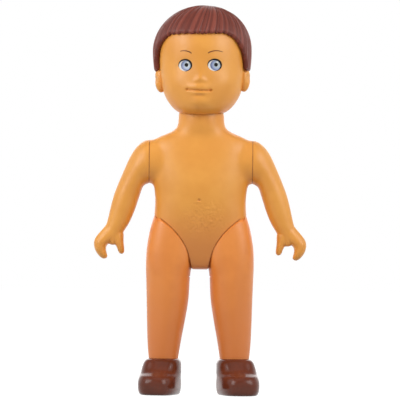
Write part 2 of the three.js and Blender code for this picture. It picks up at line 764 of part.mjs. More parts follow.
// A ring of the shoe at one height, moved out by a distance, with the toe turned out
function shoeRing({ z, toe, heel, toeHalfWidth, heelHalfWidth }, distance) {
  const half = (toe + heel) / 2 + distance;
  const middle = (heel - toe) / 2;
  const section = { y: middle, z, halfWidth: 1, front: half, back: half, power: 2.7 };
  const turn = new THREE.Matrix4().makeRotationZ(TOE_OUT).setPosition(ANKLE_X, 0, 0);
  return oval(section, LIMB_SIDES).map((point) => {
    const towardsHeel = (point.y - middle + half) / (2 * half);
    point.x *= THREE.MathUtils.lerp(toeHalfWidth, heelHalfWidth, towardsHeel) + distance;
    return point.applyMatrix4(turn);
  });
}

// The flat outline of the sole between two heights
function solePlate(low, high, distance) {
  return loft([low, high].map((z) => shoeRing({ ...shoeKeys[0], z }, distance)));
}

function shoeSolid() {
  const recess = LEG_FOOT_Z - FIT;
  const soleTop = SOLE_THICKNESS + FIT;
  const inside = shoeKeys
    .map((key) => ({ ...key, z: Math.min(key.z, recess) - WALL }))
    .filter((key, i, all) => i === 0 || key.z > all[i - 1].z);
  return loft(rows(shoeKeys, 2).map((key) => shoeRing(key, 0)))
    .subtract(loft(inside.map((key) => shoeRing(key, -WALL - SOLE_LEDGE))))
    .subtract(solePlate(-WALL, soleTop, FIT - WALL))
    .subtract(legBlock(recess, SHOE_HEIGHT + WALL, FIT, 2))
    .add(legBlock(recess - WALL, recess + PLUG_LENGTH, -WALL - FIT, 3));
}

// Assembly

function piece(name, shape, finish) {
  const geometry = shape.isBufferGeometry ? shape : toGeometry(shape);
  const mesh = new THREE.Mesh(geometry, new THREE.MeshStandardMaterial(COLOURS[finish]));
  mesh.name = name;
  return mesh;
}

function sidePieces(side, shapes) {
  const group = new THREE.Group();
  for (const [name, shape, finish] of shapes) group.add(piece(`${name}_${side}`, shape, finish));
  return group;
}

const sideShapes = [
  ['arm', armSolid(), 'skin'],
  ['shoulder_hub', onArmAxis(hub(shoulderHubEnd, shoulderSeat)), 'hubs'],
  ['leg', legSolid(), 'legs'],
  ['hip_hub', onHipAxis(hub(hipHubEnd, hipSeat)), 'hubs'],
  ['shoe', shoeSolid(), 'shoes'],
  ['sole', solePlate(0, SOLE_THICKNESS, -WALL), 'shoes'],
];
const trunk = trunkHalves();

const head = new THREE.Group();
head.add(piece('head_shell', headShell(), 'skin'));
head.add(piece('hair_cap', hairCap(), 'hair'));
head.add(piece('neck_socket', neckSocket(), 'hubs'));
head.rotation.z = HEAD_TURN;

const left = sidePieces('left', sideShapes);
const right = sidePieces('right', sideShapes);
right.scale.x = -1;

const doll = new THREE.Group();
doll.add(piece('torso_front', trunk.front, 'skin'));
doll.add(piece('torso_back', trunk.back, 'skin'));
doll.add(piece('neck_peg', neckPeg(), 'hubs'));
doll.add(head, left, right);

// The origin is under the middle of the doll, on the surface that it stands on
const extent = new THREE.Box3().setFromObject(doll, true);
doll.position.y = -(extent.min.y + extent.max.y) / 2;

export default doll;
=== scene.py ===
"""Looks of a jointed play doll: a smooth moulded body, printed eyes, ridged hair and glossy shoes.

Metres, +Z up. The doll faces -Y and its own left side is +X. Pieces of the left side are modelled first
and the right side is their mirror image.
"""
import json
import math
import random

import bmesh
import bpy
from mathutils import Matrix, Vector


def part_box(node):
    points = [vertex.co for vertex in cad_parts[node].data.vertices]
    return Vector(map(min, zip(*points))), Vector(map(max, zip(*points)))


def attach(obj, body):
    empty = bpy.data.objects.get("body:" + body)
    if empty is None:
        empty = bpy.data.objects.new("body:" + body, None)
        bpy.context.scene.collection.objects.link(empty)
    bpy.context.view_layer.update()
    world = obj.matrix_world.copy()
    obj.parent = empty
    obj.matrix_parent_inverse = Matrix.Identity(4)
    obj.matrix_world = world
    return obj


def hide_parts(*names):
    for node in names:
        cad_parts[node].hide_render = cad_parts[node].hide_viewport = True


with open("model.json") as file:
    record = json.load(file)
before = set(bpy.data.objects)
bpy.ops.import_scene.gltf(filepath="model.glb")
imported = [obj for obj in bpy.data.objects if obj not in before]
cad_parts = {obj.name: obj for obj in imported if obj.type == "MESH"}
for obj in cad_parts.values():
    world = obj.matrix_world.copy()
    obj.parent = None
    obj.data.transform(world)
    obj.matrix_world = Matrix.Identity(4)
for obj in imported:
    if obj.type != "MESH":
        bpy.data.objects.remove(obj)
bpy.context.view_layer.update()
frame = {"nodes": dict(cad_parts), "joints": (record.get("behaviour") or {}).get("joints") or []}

MM = 0.001
FAR = 150 * MM  # past the doll sideways, and above its neck
REACH = 60 * MM  # past the arms, from the middle of the doll
JOINTS = {joint["name"]: joint for joint in frame["joints"]}
NECK = Vector(JOINTS["neck"]["pos_m"])
SHOULDER = Vector(JOINTS["left_shoulder"]["pos_m"])
HIP = Vector(JOINTS["left_hip"]["pos_m"])
HIP_AXIS = Vector(JOINTS["left_hip"]["axis"])  # points inwards and up, towards the trunk
MID_Y = NECK.y  # the plane of the arm axis, where the trunk halves meet

# Fits that show as seams
HIP_RADIUS = 26.2 * MM
HIP_SEAM = 0.25 * MM
HIP_RIM = 19.4 * MM  # the ball's radius at the height of the dome's rim
HIP_WALL = 17.65 * MM  # the dome's side, straight above its rim
SIDE_SHARE = 0.3  # the share of the seam that the dome's side and rim keep
DOME_STEPS = 24
DOME_SIDES = 160
SHOULDER_SEAM = 0.08 * MM
SHOULDER_FACE = SHOULDER.x + SHOULDER_SEAM  # the flat face of the arm
PARTING = 0.03 * MM  # half the gap between the trunk halves
NECK_ROOM = 12.3 * MM  # the radius of the hollow under the head
NECK_GAP = 0.3 * MM  # between the neck's top and that hollow
NECK_ROOM_LOW = 130 * MM

# The head stands turned a little to its own right, and a little to the left of the neck
HEAD_TURN = math.radians(-3.5)
HEAD_TILT = math.radians(-1)
HEAD_SHIFT = 0.6 * MM


# Selecting and editing

WELD = 0.001 * MM  # vertices nearer than this become one


def activate(piece):
    """Selects one piece alone and makes it the active one."""
    bpy.ops.object.select_all(action="DESELECT")
    piece.select_set(True)
    bpy.context.view_layer.objects.active = piece


def open_mesh(piece):
    """Enters edit mode on one piece, with nothing selected in it."""
    activate(piece)
    bpy.ops.object.mode_set(mode="EDIT")
    bpy.ops.mesh.select_mode(type="VERT")
    bpy.ops.mesh.select_all(action="DESELECT")


def close_mesh():
    bpy.ops.object.mode_set(mode="OBJECT")


def pick_all():
    bpy.ops.mesh.select_all(action="SELECT")


def close_outwards():
    """Turns every face outwards and leaves edit mode."""
    pick_all()
    bpy.ops.mesh.normals_make_consistent(inside=False)
    close_mesh()


def pick(piece, test):
    """Selects the vertices whose place passes a test, in edit mode."""
    mesh = bmesh.from_edit_mesh(piece.data)
    for vert in mesh.verts:
        vert.select = test(vert.co)
    mesh.select_flush(True)
    mesh.select_flush(False)
    bmesh.update_edit_mesh(piece.data)


def move(by, **settings):
    bpy.ops.transform.translate(value=by, **settings)


def resize(by, centre, **settings):
    bpy.ops.transform.resize(value=by, center_override=centre, **settings)


def turn(angle, axis, centre):
    """Turns what is selected by the right-hand rule. Without a window the operator turns the other way."""
    bpy.ops.transform.rotate(value=-angle, orient_axis=axis, center_override=centre)


def soft(radius):
    """Settings of a move or a resize that fades out over a radius."""
    return dict(use_proportional_edit=True, proportional_edit_falloff="SMOOTH", proportional_size=radius)


def new_piece(add, **settings):
    """What a mesh operator adds, selected alone."""
    bpy.ops.object.select_all(action="DESELECT")
    add(**settings)
    return bpy.context.object


def disc(sides, radius):
    """A new flat round, selected in edit mode."""
    add = bpy.ops.mesh.primitive_circle_add
    piece = new_piece(add, vertices=sides, radius=radius, fill_type="NGON", enter_editmode=True)
    pick_all()
    return piece


def set_place(piece):
    """Moves a new piece's place into its mesh."""
    activate(piece)
    bpy.ops.object.transform_apply(location=True, rotation=True, scale=True)


def add_modifier(piece, name, kind, **settings):
    """Adds a modifier, sets it and applies it."""
    activate(piece)
    modifier = piece.modifiers.new(name, kind)
    for key, value in settings.items():
        setattr(modifier, key, value)
    bpy.ops.object.modifier_apply(modifier=modifier.name)


def subdivide(piece, levels):
    add_modifier(piece, "rounding", "SUBSURF", levels=levels, render_levels=levels)


def cut(piece, tool, operation="DIFFERENCE"):
    """Cuts or joins a piece with a tool, which is then removed."""
    add_modifier(piece, "cut", "BOOLEAN", object=tool, operation=operation, solver="EXACT")
    bpy.data.objects.remove(tool)


def link(piece):
    bpy.context.scene.collection.objects.link(piece)


def twin(piece, name):
    """A copy of a piece with a mesh of its own."""
    copy = piece.copy()
    copy.data = piece.data.copy()
    copy.name = name
    link(copy)
    return copy


def mirror_image(piece, name):
    """The other side's piece: a copy mirrored in the middle plane."""
    copy = twin(piece, name)
    open_mesh(copy)
    pick_all()
    resize((-1, 1, 1), (0, 0, 0))
    bpy.ops.mesh.flip_normals()
    close_mesh()
    return copy


def one_skin(piece, voxel, rounds):
    """Makes one skin of what was joined, and smooths it so many times over."""
    add_modifier(piece, "one_skin", "REMESH", mode="VOXEL", voxel_size=voxel)
    add_modifier(piece, "soft_joins", "SMOOTH", factor=0.5, iterations=rounds)


def smooth_faces(piece, degrees):
    activate(piece)
    bpy.ops.object.shade_smooth_by_angle(angle=math.radians(degrees))


def face_outwards(piece):
    """Welds a piece and turns its faces outwards."""
    open_mesh(piece)
    pick_all()
    bpy.ops.mesh.remove_doubles(threshold=WELD)
    close_outwards()


# Bodies built up ring by ring

RING_SLACK = 0.02  # how near to its due place a vertex is looked for


def fullness(angle, power):
    """How far a rounded square of this power stands out from a circle, at an angle round the ring."""
    return (abs(math.cos(angle)) ** power + abs(math.sin(angle)) ** power) ** (-1 / power)


def square_off(piece, sides, centre, half_width, half_depth, old_power, new_power):
    """Fills out the selected ring's diagonals, or rounds them, from one power to another."""
    ring = [vert for vert in bmesh.from_edit_mesh(piece.data).verts if vert.select]
    for step in range(1, sides // 8 + 1):
        angle = math.tau * step / sides
        old = fullness(angle, old_power)
        growth = fullness(angle, new_power) / old
        far, near = math.cos(angle) * old, math.sin(angle) * old
        for vert in ring:
            place = vert.co - centre
            share = sorted((abs(place.x) / half_width, abs(place.y) / half_depth))
            vert.select = abs(share[1] - far) < RING_SLACK and abs(share[0] - near) < RING_SLACK
        bmesh.update_edit_mesh(piece.data)
        resize((growth, growth, 1), centre)
    for vert in ring:
        vert.select = True
    mesh = bmesh.from_edit_mesh(piece.data)
    mesh.select_flush(True)
    bmesh.update_edit_mesh(piece.data)


def ring_tower(name, rings, sides=32):
    """A closed body through rings of (x, y, z, half width, half depth, power, tilt), extruded one by one.

    The cage is swollen a little, because the subdivision that follows draws it in. Tilt leans a ring
    over sideways, and is for rings of power 2 only.
    """
    swell = 3 / (2 + math.cos(math.tau / sides))
    tower = disc(sides, 1)
    tower.name = name
    old_centre, old_width, old_depth, old_power, old_tilt = Vector(), 1, 1, 2, 0
    for count, (x, y, z, half_width, half_depth, power, tilt) in enumerate(rings):
        centre = Vector((x, y, z))
        width, depth = half_width * swell, half_depth * swell
        if count:
            bpy.ops.mesh.extrude_region_move(TRANSFORM_OT_translate={"value": centre - old_centre})
        else:
            move(centre)
        wider, deeper = width / old_width, depth / old_depth
        resize((wider, deeper, wider), centre)
        if tilt != old_tilt:
            turn(math.radians(tilt - old_tilt), "Y", centre)
        if power != old_power:
            square_off(tower, sides, centre, width, depth, old_power, power)
        old_centre, old_width, old_depth, old_power, old_tilt = centre, width, depth, power, tilt
    close_outwards()
    return tower


def upright(z, half_width, front, back, power=2, x=0):
    """A level ring in millimetres, from its reach to the front and to the back of the arm axis."""
    y = MID_Y + (back - front) / 2 * MM
    return (x * MM, y, z * MM, half_width * MM, (front + back) / 2 * MM, power, 0)


# Cutting tools


def block(low, high):
    """A plain box between two corners."""
    middle = (Vector(low) + Vector(high)) / 2
    tool = new_piece(bpy.ops.mesh.primitive_cube_add, size=1, location=middle)
    tool.scale = Vector(high) - Vector(low)
    set_place(tool)
    return tool


def rod(start, end, radius):
    """A plain round bar between two points."""
    run = Vector(end) - Vector(start)
    tool = new_piece(
        bpy.ops.mesh.primitive_cylinder_add,
        vertices=96,
        radius=radius,
        depth=run.length,
        location=(Vector(start) + Vector(end)) / 2,
        rotation=run.to_track_quat("Z", "Y").to_euler(),
    )
    set_place(tool)
    return tool


def hip_room(gap):
    """The room that the left leg keeps: a domed button about the hip axis, and all below its rim."""
    dome, wall = HIP_RADIUS + gap, HIP_WALL + SIDE_SHARE * gap
    rim = math.sqrt(HIP_RADIUS**2 - HIP_RIM**2) + SIDE_SHARE * gap
    profile = [(FAR, -2 * FAR), (FAR, rim), (wall, rim)]
    for step in range(DOME_STEPS):
        angle = math.asin(wall / dome) * (1 - step / DOME_STEPS)
        profile.append((dome * math.sin(angle), dome * math.cos(angle)))
    room = disc(DOME_SIDES, FAR)
    move((0, 0, profile[0][1]))
    for (old_radius, old_height), (radius, height) in zip(profile, profile[1:]):
        bpy.ops.mesh.extrude_region_move(TRANSFORM_OT_translate={"value": (0, 0, height - old_height)})
        share = radius / old_radius
        resize((share, share, 1), (0, 0, height))
    pick_all()
    turn(-math.acos(HIP_AXIS.z), "Y", (0, 0, 0))
    move(HIP)
    close_outwards()
    return room


# Trunk

BELLY = (1.6 * MM, 90 * MM)  # the middle of the moulded mottle, across and up
BELLY_REACH = (16 * MM, 13 * MM)
BELLY_CORE = 0.35  # the share of that reach over which the mottle is full
BELLY_FRONT = 6 * MM  # the mottle keeps this far in front of the arm axis
MOTTLE_SIZE = 1.15 * MM
MOTTLE_DEPTH = 0.27 * MM
NAVEL = (-0.8 * MM, 99.5 * MM)  # its place across and up
NAVEL_DEPTH = 0.65 * MM
NAVEL_RADIUS = 0.75 * MM
NAVEL_CORE = 0.35 * MM  # what lies nearer than this sinks all the way
RIBS = 100 * MM  # below the flat faces of the shoulders

# The bar that joins the shoulders: its rings' places across, top, underside and half depth
SHOULDER_BAR = (-29, -27, -14, 0, 14, 27, 29)
BAR_TOP, BAR_UNDER, BAR_DEPTH = 130.3, 108.1, 10.3

# Height, half width, reach to the front and to the back, and power
TRUNK_RINGS = (
    (64.1, 8, 5.2, 6.2, 2.4),
    (64.5, 13.6, 7.6, 9.2, 2.4),
    (66.8, 21, 9.4, 12.2, 2.4),
    (72, 26.7, 10.9, 13.9, 2.5),
    (80, 25.4, 12.7, 14.7, 2.6),
    (90, 23.6, 13.8, 14.4, 2.7),
    (95, 23.25, 14.6, 13.2, 2.4),
    (99.6, 23.2, 15.3, 12, 2.1),
    (103.8, 23.6, 15.6, 11.6, 2),
    (107.6, 24.3, 15.6, 11.7, 2),
    (112, 25, 15.2, 11.8, 2.05),
    (118, 25.6, 14.1, 11.8, 2.3),
    (124, 25.6, 12.4, 11.3, 2.6),
    (128, 25.6, 11.2, 10.8, 2.5),
    (130.4, 24.4, 10.5, 10.4, 2.3),
    (132, 21.6, 10.1, 10.2, 2.2),
    (134, 16.2, 10.3, 10.5, 2.1),
    (136, 12.7, 11.1, 11.1, 2),
    (138.4, 11.8, 11.7, 11.7, 2),
    (142, 11.7, 11.7, 11.7, 2),
    (145.4, 11.7, 11.7, 11.7, 2),
    (146, 11.3, 11.3, 11.3, 2),
)


def mottle(piece, name, weight):
    """Moulded unevenness in the surface, as deep as weight says at each place."""
    group = piece.vertex_groups.new(name=name)
    for vert in piece.data.vertices:
        share = weight(vert.co)
        if share > 0:
            group.add([vert.index], share, "REPLACE")
    texture = bpy.data.textures.new(name, "CLOUDS")
    texture.noise_scale = MOTTLE_SIZE
    texture.noise_depth = 1
    texture.contrast = 2
    settings = {"texture": texture, "texture_coords": "LOCAL", "vertex_group": name}
    add_modifier(piece, name, "DISPLACE", strength=MOTTLE_DEPTH, **settings)


def ease(value, low, high):
    """A smooth step from 0 at low to 1 at high."""
    share = min(1, max(0, (value - low) / (high - low)))
    return share * share * (3 - 2 * share)


def on_belly(place):
    """Where a place is on the lower belly, in shares of the mottle's reach across and up."""
    return (place.x - BELLY[0]) / BELLY_REACH[0], (place.z - BELLY[1]) / BELLY_REACH[1]


def belly_weight(place):
    """The lower belly's mottle: in front, between the navel and the hips."""
    if place.y > MID_Y - BELLY_FRONT:
        return 0
    return 1 - ease(math.hypot(*on_belly(place)), BELLY_CORE, 1)


def trunk():
    """The two halves of the trunk, parted at the arm axis."""
    body = ring_tower("trunk_front", [upright(*ring) for ring in TRUNK_RINGS])
    subdivide(body, 2)
    bar = [arm_ring((x, BAR_TOP), (x, BAR_UNDER), BAR_DEPTH) for x in SHOULDER_BAR]
    cut(body, ring_tower("shoulder_bar", bar), "UNION")
    one_skin(body, voxel=0.6 * MM, rounds=50)
    open_mesh(body)
    pick(body, lambda place: max(map(abs, on_belly(place))) < 1 and place.y < MID_Y)
    bpy.ops.mesh.subdivide(number_cuts=1, smoothness=0)
    close_mesh()
    mottle(body, "belly_mottle", belly_weight)
    open_mesh(body)
    front = min(v.co.y for v in body.data.vertices if abs(v.co.z - NAVEL[1]) < MM)
    navel = Vector((NAVEL[0], front, NAVEL[1]))
    pick(body, lambda place: (place - navel).length < NAVEL_CORE)
    move((0, NAVEL_DEPTH, 0), **soft(NAVEL_RADIUS))
    close_mesh()
    for side in (1, -1):
        room = hip_room(HIP_SEAM)
        if side < 0:
            room.scale.x = -1
            set_place(room)
            face_outwards(room)
        cut(body, room)
        edges = sorted((side * SHOULDER.x, side * REACH))
        cut(body, block((edges[0], -REACH, RIBS), (edges[1], REACH, FAR)))
    back = twin(body, "trunk_back")
    cut(body, block((-FAR, MID_Y - PARTING, 0), (FAR, FAR, 2 * FAR)))
    cut(back, block((-FAR, -FAR, 0), (FAR, MID_Y + PARTING, 2 * FAR)))
    return body, back


# Legs

# Height, outer and inner edge, reach to the front and to the back, and power
LEG_RINGS = (
    (16.9, 25.4, 10.9, 8.2, 8.2),
    (17.3, 25.6, 10.8, 8.4, 8.4),
    (19.6, 25.9, 10.5, 8.9, 8.7, 2),
    (27, 26.5, 9.4, 9.8, 9.5, 1.85),
    (34, 26.75, 8.05, 10.7, 10.4, 1.82),
    (41.3, 26.95, 6.75, 11.5, 11.1, 1.82),
    (48.8, 27.1, 5.5, 12.3, 11.6, 1.86),
    (57.6, 27.35, 5.2, 13, 12.2, 1.95),
    (61, 27.5, 5, 13.1, 12.4, 2.05),
    (64.5, 27.6, 4.6, 13.2, 12.6, 2.25),
    (68, 27.6, 3.2, 13.2, 12.8, 2.5),
    (75, 27.4, 2.6, 13.2, 13.2, 2.6),
    (83.7, 25.9, 2.6, 12.9, 13.8, 2.6),
    (90, 24.1, 3, 12.4, 14, 2.6),
    (93, 23, 3, 12.2, 13.8, 2.6),
    (97, 20.8, 3.2, 12, 13.4, 2.6),
)


def leg_ring(z, outer, inner, front, back, power=2.3):
    """A level ring in millimetres, from its outer and inner edge."""
    return upright(z, (outer - inner) / 2, front, back, power, (outer + inner) / 2)


def leg():
    """One leg: a tapering column with a domed top that runs in the trunk's socket."""
    limb = ring_tower("left_leg_skin", [leg_ring(*ring) for ring in LEG_RINGS])
    subdivide(limb, 3)
    cut(limb, hip_room(0), "INTERSECT")
    return limb


# Arms

ARM_SIDES = 24
HAND_LOW = 60 * MM  # below the hands

# Outer edge, inner edge and half depth: across and up, in millimetres
ARM_RINGS = (
    ((24.2, 129.8), (24.2, 108.8), 10),
    ((26.3, 130.2), (26.3, 108.2), 10.4),
    ((27.3, 130.35), (27.1, 107.9), 10.6),
    ((29.9, 129.5), (28.1, 107.5), 10.4),
    ((33.2, 126.7), (29.3, 106.8), 9.8),
    ((36.1, 122.1), (30.2, 105), 8.9),
    ((38.8, 116), (30.8, 102.8), 8.1),
    ((41.7, 109.2), (31.7, 100.2), 7.4),
    ((44.6, 102), (32.9, 96.2), 6.8),
    ((46.4, 94.2), (34.5, 91.9), 6.1),
    ((47.6, 88.4), (36.4, 87.4), 5.4),
    ((48.6, 85.6), (38.6, 84.2), 4.8),
    ((49.3, 83), (40, 81.6), 4.3),
    ((48.8, 80.6), (41, 79.8), 3.8),
    ((47.3, 77.3), (42.7, 76.9), 3.2),
    ((46.1, 76.3), (43.9, 76.1), 2),
)
FINGERS = (
    ((46, 89.6), (38, 87), 4.2), ((48.6, 86.1), (39.4, 83), 4.4),
    ((50.6, 83.8), (41.6, 80.6), 4.4), ((52.6, 81.5), (44, 78.4), 4.4),
    ((54.4, 79), (46.6, 77.3), 4.4), ((54.6, 76), (48.3, 75.6), 4.2),
    ((53.7, 73), (48.2, 73.5), 3.8), ((52, 70.7), (47.6, 71.5), 3.1),
    ((50.2, 69.2), (47.2, 70.2), 2.1), ((49.1, 69), (47.9, 69.4), 0.8),
)
THUMB = (
    ((46, 84), (38.9, 83.6), 3.9), ((45.4, 80.6), (39.2, 80.3), 3.8),
    ((44.4, 78), (39.2, 77.7), 3.5), ((42.9, 75.6), (38.9, 75.4), 3.1),
    ((42.2, 73.8), (38.7, 73.6), 2.6), ((41.8, 72.4), (38.9, 72.2), 2),
    ((40.9, 71.6), (39.6, 71.6), 1),
)


def arm_ring(outer, inner, half_depth):
    """A ring across the arm between its outer and inner edge, in millimetres."""
    across = Vector(outer) - Vector(inner)
    middle = (Vector(outer) + Vector(inner)) / 2
    tilt = -math.degrees(math.atan2(across.y, across.x))
    return (middle.x * MM, MID_Y, middle.y * MM, across.length / 2 * MM, half_depth * MM, 2, tilt)


def arm():
    """One arm with its hand: a flat round shoulder, a tapering sleeve shape and a gripping hand."""
    limb = ring_tower("left_arm_skin", [arm_ring(*ring) for ring in ARM_RINGS], ARM_SIDES)
    subdivide(limb, 2)
    for name, rings in (("fingers", FINGERS), ("thumb", THUMB)):
        digit = ring_tower(name, [arm_ring(*ring) for ring in rings], ARM_SIDES)
        subdivide(digit, 2)
        cut(limb, digit, "UNION")
    one_skin(limb, voxel=0.32 * MM, rounds=14)
    cut(limb, block((0, -REACH, HAND_LOW), (SHOULDER_FACE, REACH, FAR)))
    return limb


# Head

EYE_X = 7.5
EYE_Z = 168.4

# Raised and sunk places of the face: x, z, reach sideways, reach up, reach down and height, in millimetres
FACE_FORMS = (
    (EYE_X, EYE_Z, 3.9, 3.2, 3.2, -0.55),  # eye hollows
    (-EYE_X, EYE_Z, 3.9, 3.2, 3.2, -0.55),
    (14, 159.5, 4.5, 4, 4.5, 0.5),  # cheeks
    (-14, 159.5, 4.5, 4, 4.5, 0.5),
    (0.1, 165, 3, 4.6, 3.4, 0.25),  # nose bridge
    (0.1, 161.3, 2.2, 2.3, 1.6, 1),  # nose
    (2.3, 160.4, 1.4, 1.2, 1.1, 0.3),  # nostril wings
    (-2.1, 160.4, 1.4, 1.2, 1.1, 0.3),
    (-0.5, 157.2, 4.6, 1.8, 2.6, 0.95),  # upper lip
    (-0.1, 158.2, 0.9, 1.1, 1.1, -0.16),  # lip dip
    (-6.65, 156.05, 0.7, 0.6, 0.6, -0.55),  # mouth corners
    (5.4, 155.4, 0.75, 0.65, 0.65, -0.8),
    (-0.6, 154.1, 3.2, 0.7, 0.8, 0.45),  # lower lip
    (-0.2, 152.7, 2.2, 0.7, 0.9, -0.3),  # lip shadow
    (-0.5, 149.2, 5.6, 2.8, 3.4, 0.85),  # chin
)
MOUTH_LINE = (
    (-6.65, 156.05), (-5, 155.75), (-2.2, 155.6), (-0.5, 155.35), (1.4, 155.4), (3.6, 155.3), (5.4, 155.4),
)
MOUTH_WIDTH = 0.54
MOUTH_DEPTH = 0.62
FACE_FRONT = 12 * MM  # the face's relief is full this far in front of the middle
FACE_SIDE = 6 * MM  # and ends here
FACE_TOP = 182 * MM
FINE_PATCHES = ((12, 146, 167), (9, 151.5, 164))  # reach sideways, low and high ends of a finer mesh
EAR_SIZE = (3.3 * MM, 4 * MM, 6.8 * MM)
EAR_PLACE = (21.2 * MM, MID_Y + 0.2 * MM, 161.8 * MM)
DENT = (-0.9 * MM, 0.3 * MM, 0)  # how the middle of the ear sinks
DENT_Y = -1.6 * MM
DENT_CORE = 1.2 * MM
DENT_RADIUS = 2.2 * MM

# Height, half width, reach to the front and to the back
HEAD_RINGS = (
    (143.3, 6.4, 11.2, 6.4),
    (143.7, 10.6, 15.8, 10.8),
    (146, 14.3, 19.4, 14.6),
    (149.6, 17.3, 21, 17.8),
    (153.7, 19.6, 21.7, 19.8),
    (158.5, 20.9, 22, 21.4),
    (165.5, 21.6, 21.7, 22.2),
    (172, 22.3, 21.6, 22.4),
    (179, 22.5, 21.5, 22.2),
    (185, 21.2, 20.3, 21),
    (190, 17.6, 16.8, 17.6),
    (193.4, 12.2, 11.8, 12.2),
    (195.2, 6, 6, 6),
    (195.6, 2, 2, 2),
)


def mouth_share(x, z):
    """How near a place is to the line of the mouth, from 0 to 1."""
    spot = Vector((x, z))
    nearest = 9.0
    for start, end in zip(MOUTH_LINE, MOUTH_LINE[1:]):
        run = Vector(end) - Vector(start)
        along = min(1, max(0, (spot - Vector(start)).dot(run) / run.length_squared))
        nearest = min(nearest, (spot - Vector(start) - run * along).length)
    return math.exp(-((nearest / MOUTH_WIDTH) ** 2))


def face_height(x, z):
    """How far the face stands out from the plain head at a place, in millimetres."""
    height = -MOUTH_DEPTH * mouth_share(x, z)
    for middle_x, middle_z, wide, up, down, rise in FACE_FORMS:
        across = (x - middle_x) / wide
        along = (z - middle_z) / (up if z > middle_z else down)
        height += rise * math.exp(-across * across - along * along)
    return height


def model_face(skull):
    """Raises the features of the face out of the front of the head."""
    open_mesh(skull)
    for reach, low, high in FINE_PATCHES:
        pick(skull, lambda p: abs(p.x) < reach * MM and low * MM < p.z < high * MM and p.y < -FACE_FRONT)
        bpy.ops.mesh.subdivide(number_cuts=1, smoothness=0)
    close_mesh()
    for vert in skull.data.vertices:
        if vert.co.y < -FACE_SIDE and vert.co.z < FACE_TOP:
            fade = ease(-vert.co.y, FACE_SIDE, FACE_FRONT)
            vert.co.y -= face_height(vert.co.x / MM, vert.co.z / MM) * fade * MM
    # how much painted shade the mouth's groove gets at each point
    mouth_shade_share = skull.data.attributes.new("mouth_shade_share", "FLOAT", "POINT")
    for vert, tint in zip(skull.data.vertices, mouth_shade_share.data):
        tint.value = mouth_share(vert.co.x / MM, vert.co.z / MM) if vert.co.y < -FACE_FRONT else 0


def ear():
    """The left ear: a flat round, thick at its rim and hollow in the middle."""
    add = bpy.ops.mesh.primitive_uv_sphere_add
    lobe = new_piece(add, segments=48, ring_count=32, radius=1, enter_editmode=True)
    lobe.name = "ear"
    pick_all()
    bpy.ops.transform.resize(value=EAR_SIZE)
    pick(lobe, lambda p: p.x > MM and Vector((p.y - DENT_Y, p.z)).length < DENT_CORE)
    move(DENT, **soft(DENT_RADIUS))
    pick_all()
    move(EAR_PLACE)
    close_mesh()
    return lobe


def head():
    """The head with its face and ears, looking straight ahead."""
    skull = ring_tower("face", [upright(*ring) for ring in HEAD_RINGS], 40)
    subdivide(skull, 3)
    model_face(skull)
    lobe = ear()
    cut(skull, mirror_image(lobe, "other_ear"), "UNION")
    cut(skull, lobe, "UNION")
    return skull


def set_head(piece):
    """Turns and tilts a piece of the head as the head stands on the neck."""
    open_mesh(piece)
    pick_all()
    turn(HEAD_TURN, "Z", NECK)
    turn(HEAD_TILT, "Y", NECK)
    move((HEAD_SHIFT, 0, 0))
    close_mesh()


# Hair

CROWN = Vector((0.12, 0.1, 0.987))  # where the strands start from, as a direction out of the cap's middle
CAP_Z = 176.4 * MM
CAP_HALF_WIDTH = 25.5 * MM
CAP_FRONT = 24.2 * MM
CAP_BACK = 25.8 * MM
CAP_RISE = 23.55 * MM
CAP_DROP = 43 * MM  # below its widest the cap draws in as slowly as a ball of this height
CAP_LEAN = 1 * MM  # the top of the hair stands a little to the left
CAP_WALL = 3 * MM
HAIR_TURN = 3  # degrees by which the hairline is off the face's middle
HAIR_EDGE = (  # degrees round from the middle of the face, and height
    (0, 184.9), (40, 184.9), (51, 182.6), (62, 178), (71, 172.4), (77.5, 166.6),
    (82, 165.4), (110, 165.4), (117, 163.5), (128, 154), (136, 152), (180, 152),
)
HAIR_COLUMNS = 720
HAIR_ROWS, RIM_STEPS, INNER_ROWS = 36, 8, 12
STRANDS, FINE_STRANDS = 50, 140
STRAND_SEED, FINE_SEED, LIFT_SEED = 7, 5, 11
SWAY = 3  # degrees by which the strands bend aside on their way down
STRAND_RIDGE = 0.55 * MM
TIP_DROP = 0.4 * MM  # how far the rounded tips of the strands hang below the grooves


def edge_height(degrees):
    """Where the hair ends, by the angle round the head from the middle of the face."""
    bearing = abs((degrees + HAIR_TURN + 180) % 360 - 180)
    for (a, low), (b, high) in zip(HAIR_EDGE, HAIR_EDGE[1:]):
        if bearing <= b:
            share = (bearing - a) / (b - a)
            return (low + (high - low) * share) * MM
    return HAIR_EDGE[-1][1] * MM


def cap_point(direction, inset):
    """The place on the hair cap in a direction out of its middle, this far below its plain surface."""
    wide = CAP_HALF_WIDTH - inset
    deep = (CAP_FRONT if direction.y < 0 else CAP_BACK) - inset
    tall = CAP_RISE - inset if direction.z > 0 else CAP_DROP
    lean = CAP_LEAN * max(0, direction.z) ** 1.5
    return Vector((wide * direction.x + lean, MID_Y + deep * direction.y, CAP_Z + tall * direction.z))


def strand_marks(count, seed):
    """The bearings, in degrees, at which one strand ends and the next begins."""
    draw = random.Random(seed)
    widths = [draw.uniform(0.45, 1.55) for _ in range(count)]
    marks = [0.0]
    for width in widths:
        marks.append(marks[-1] + width * 360 / sum(widths))
    return marks


def strand_at(bearing, marks):
    """The strand at a bearing, and the height across it, from 0 in a groove to 1 on its ridge."""
    index = max(i for i in range(len(marks) - 1) if marks[i] <= bearing)
    share = (bearing - marks[index]) / (marks[index + 1] - marks[index])
    return index, math.sin(math.pi * share) ** 1.2


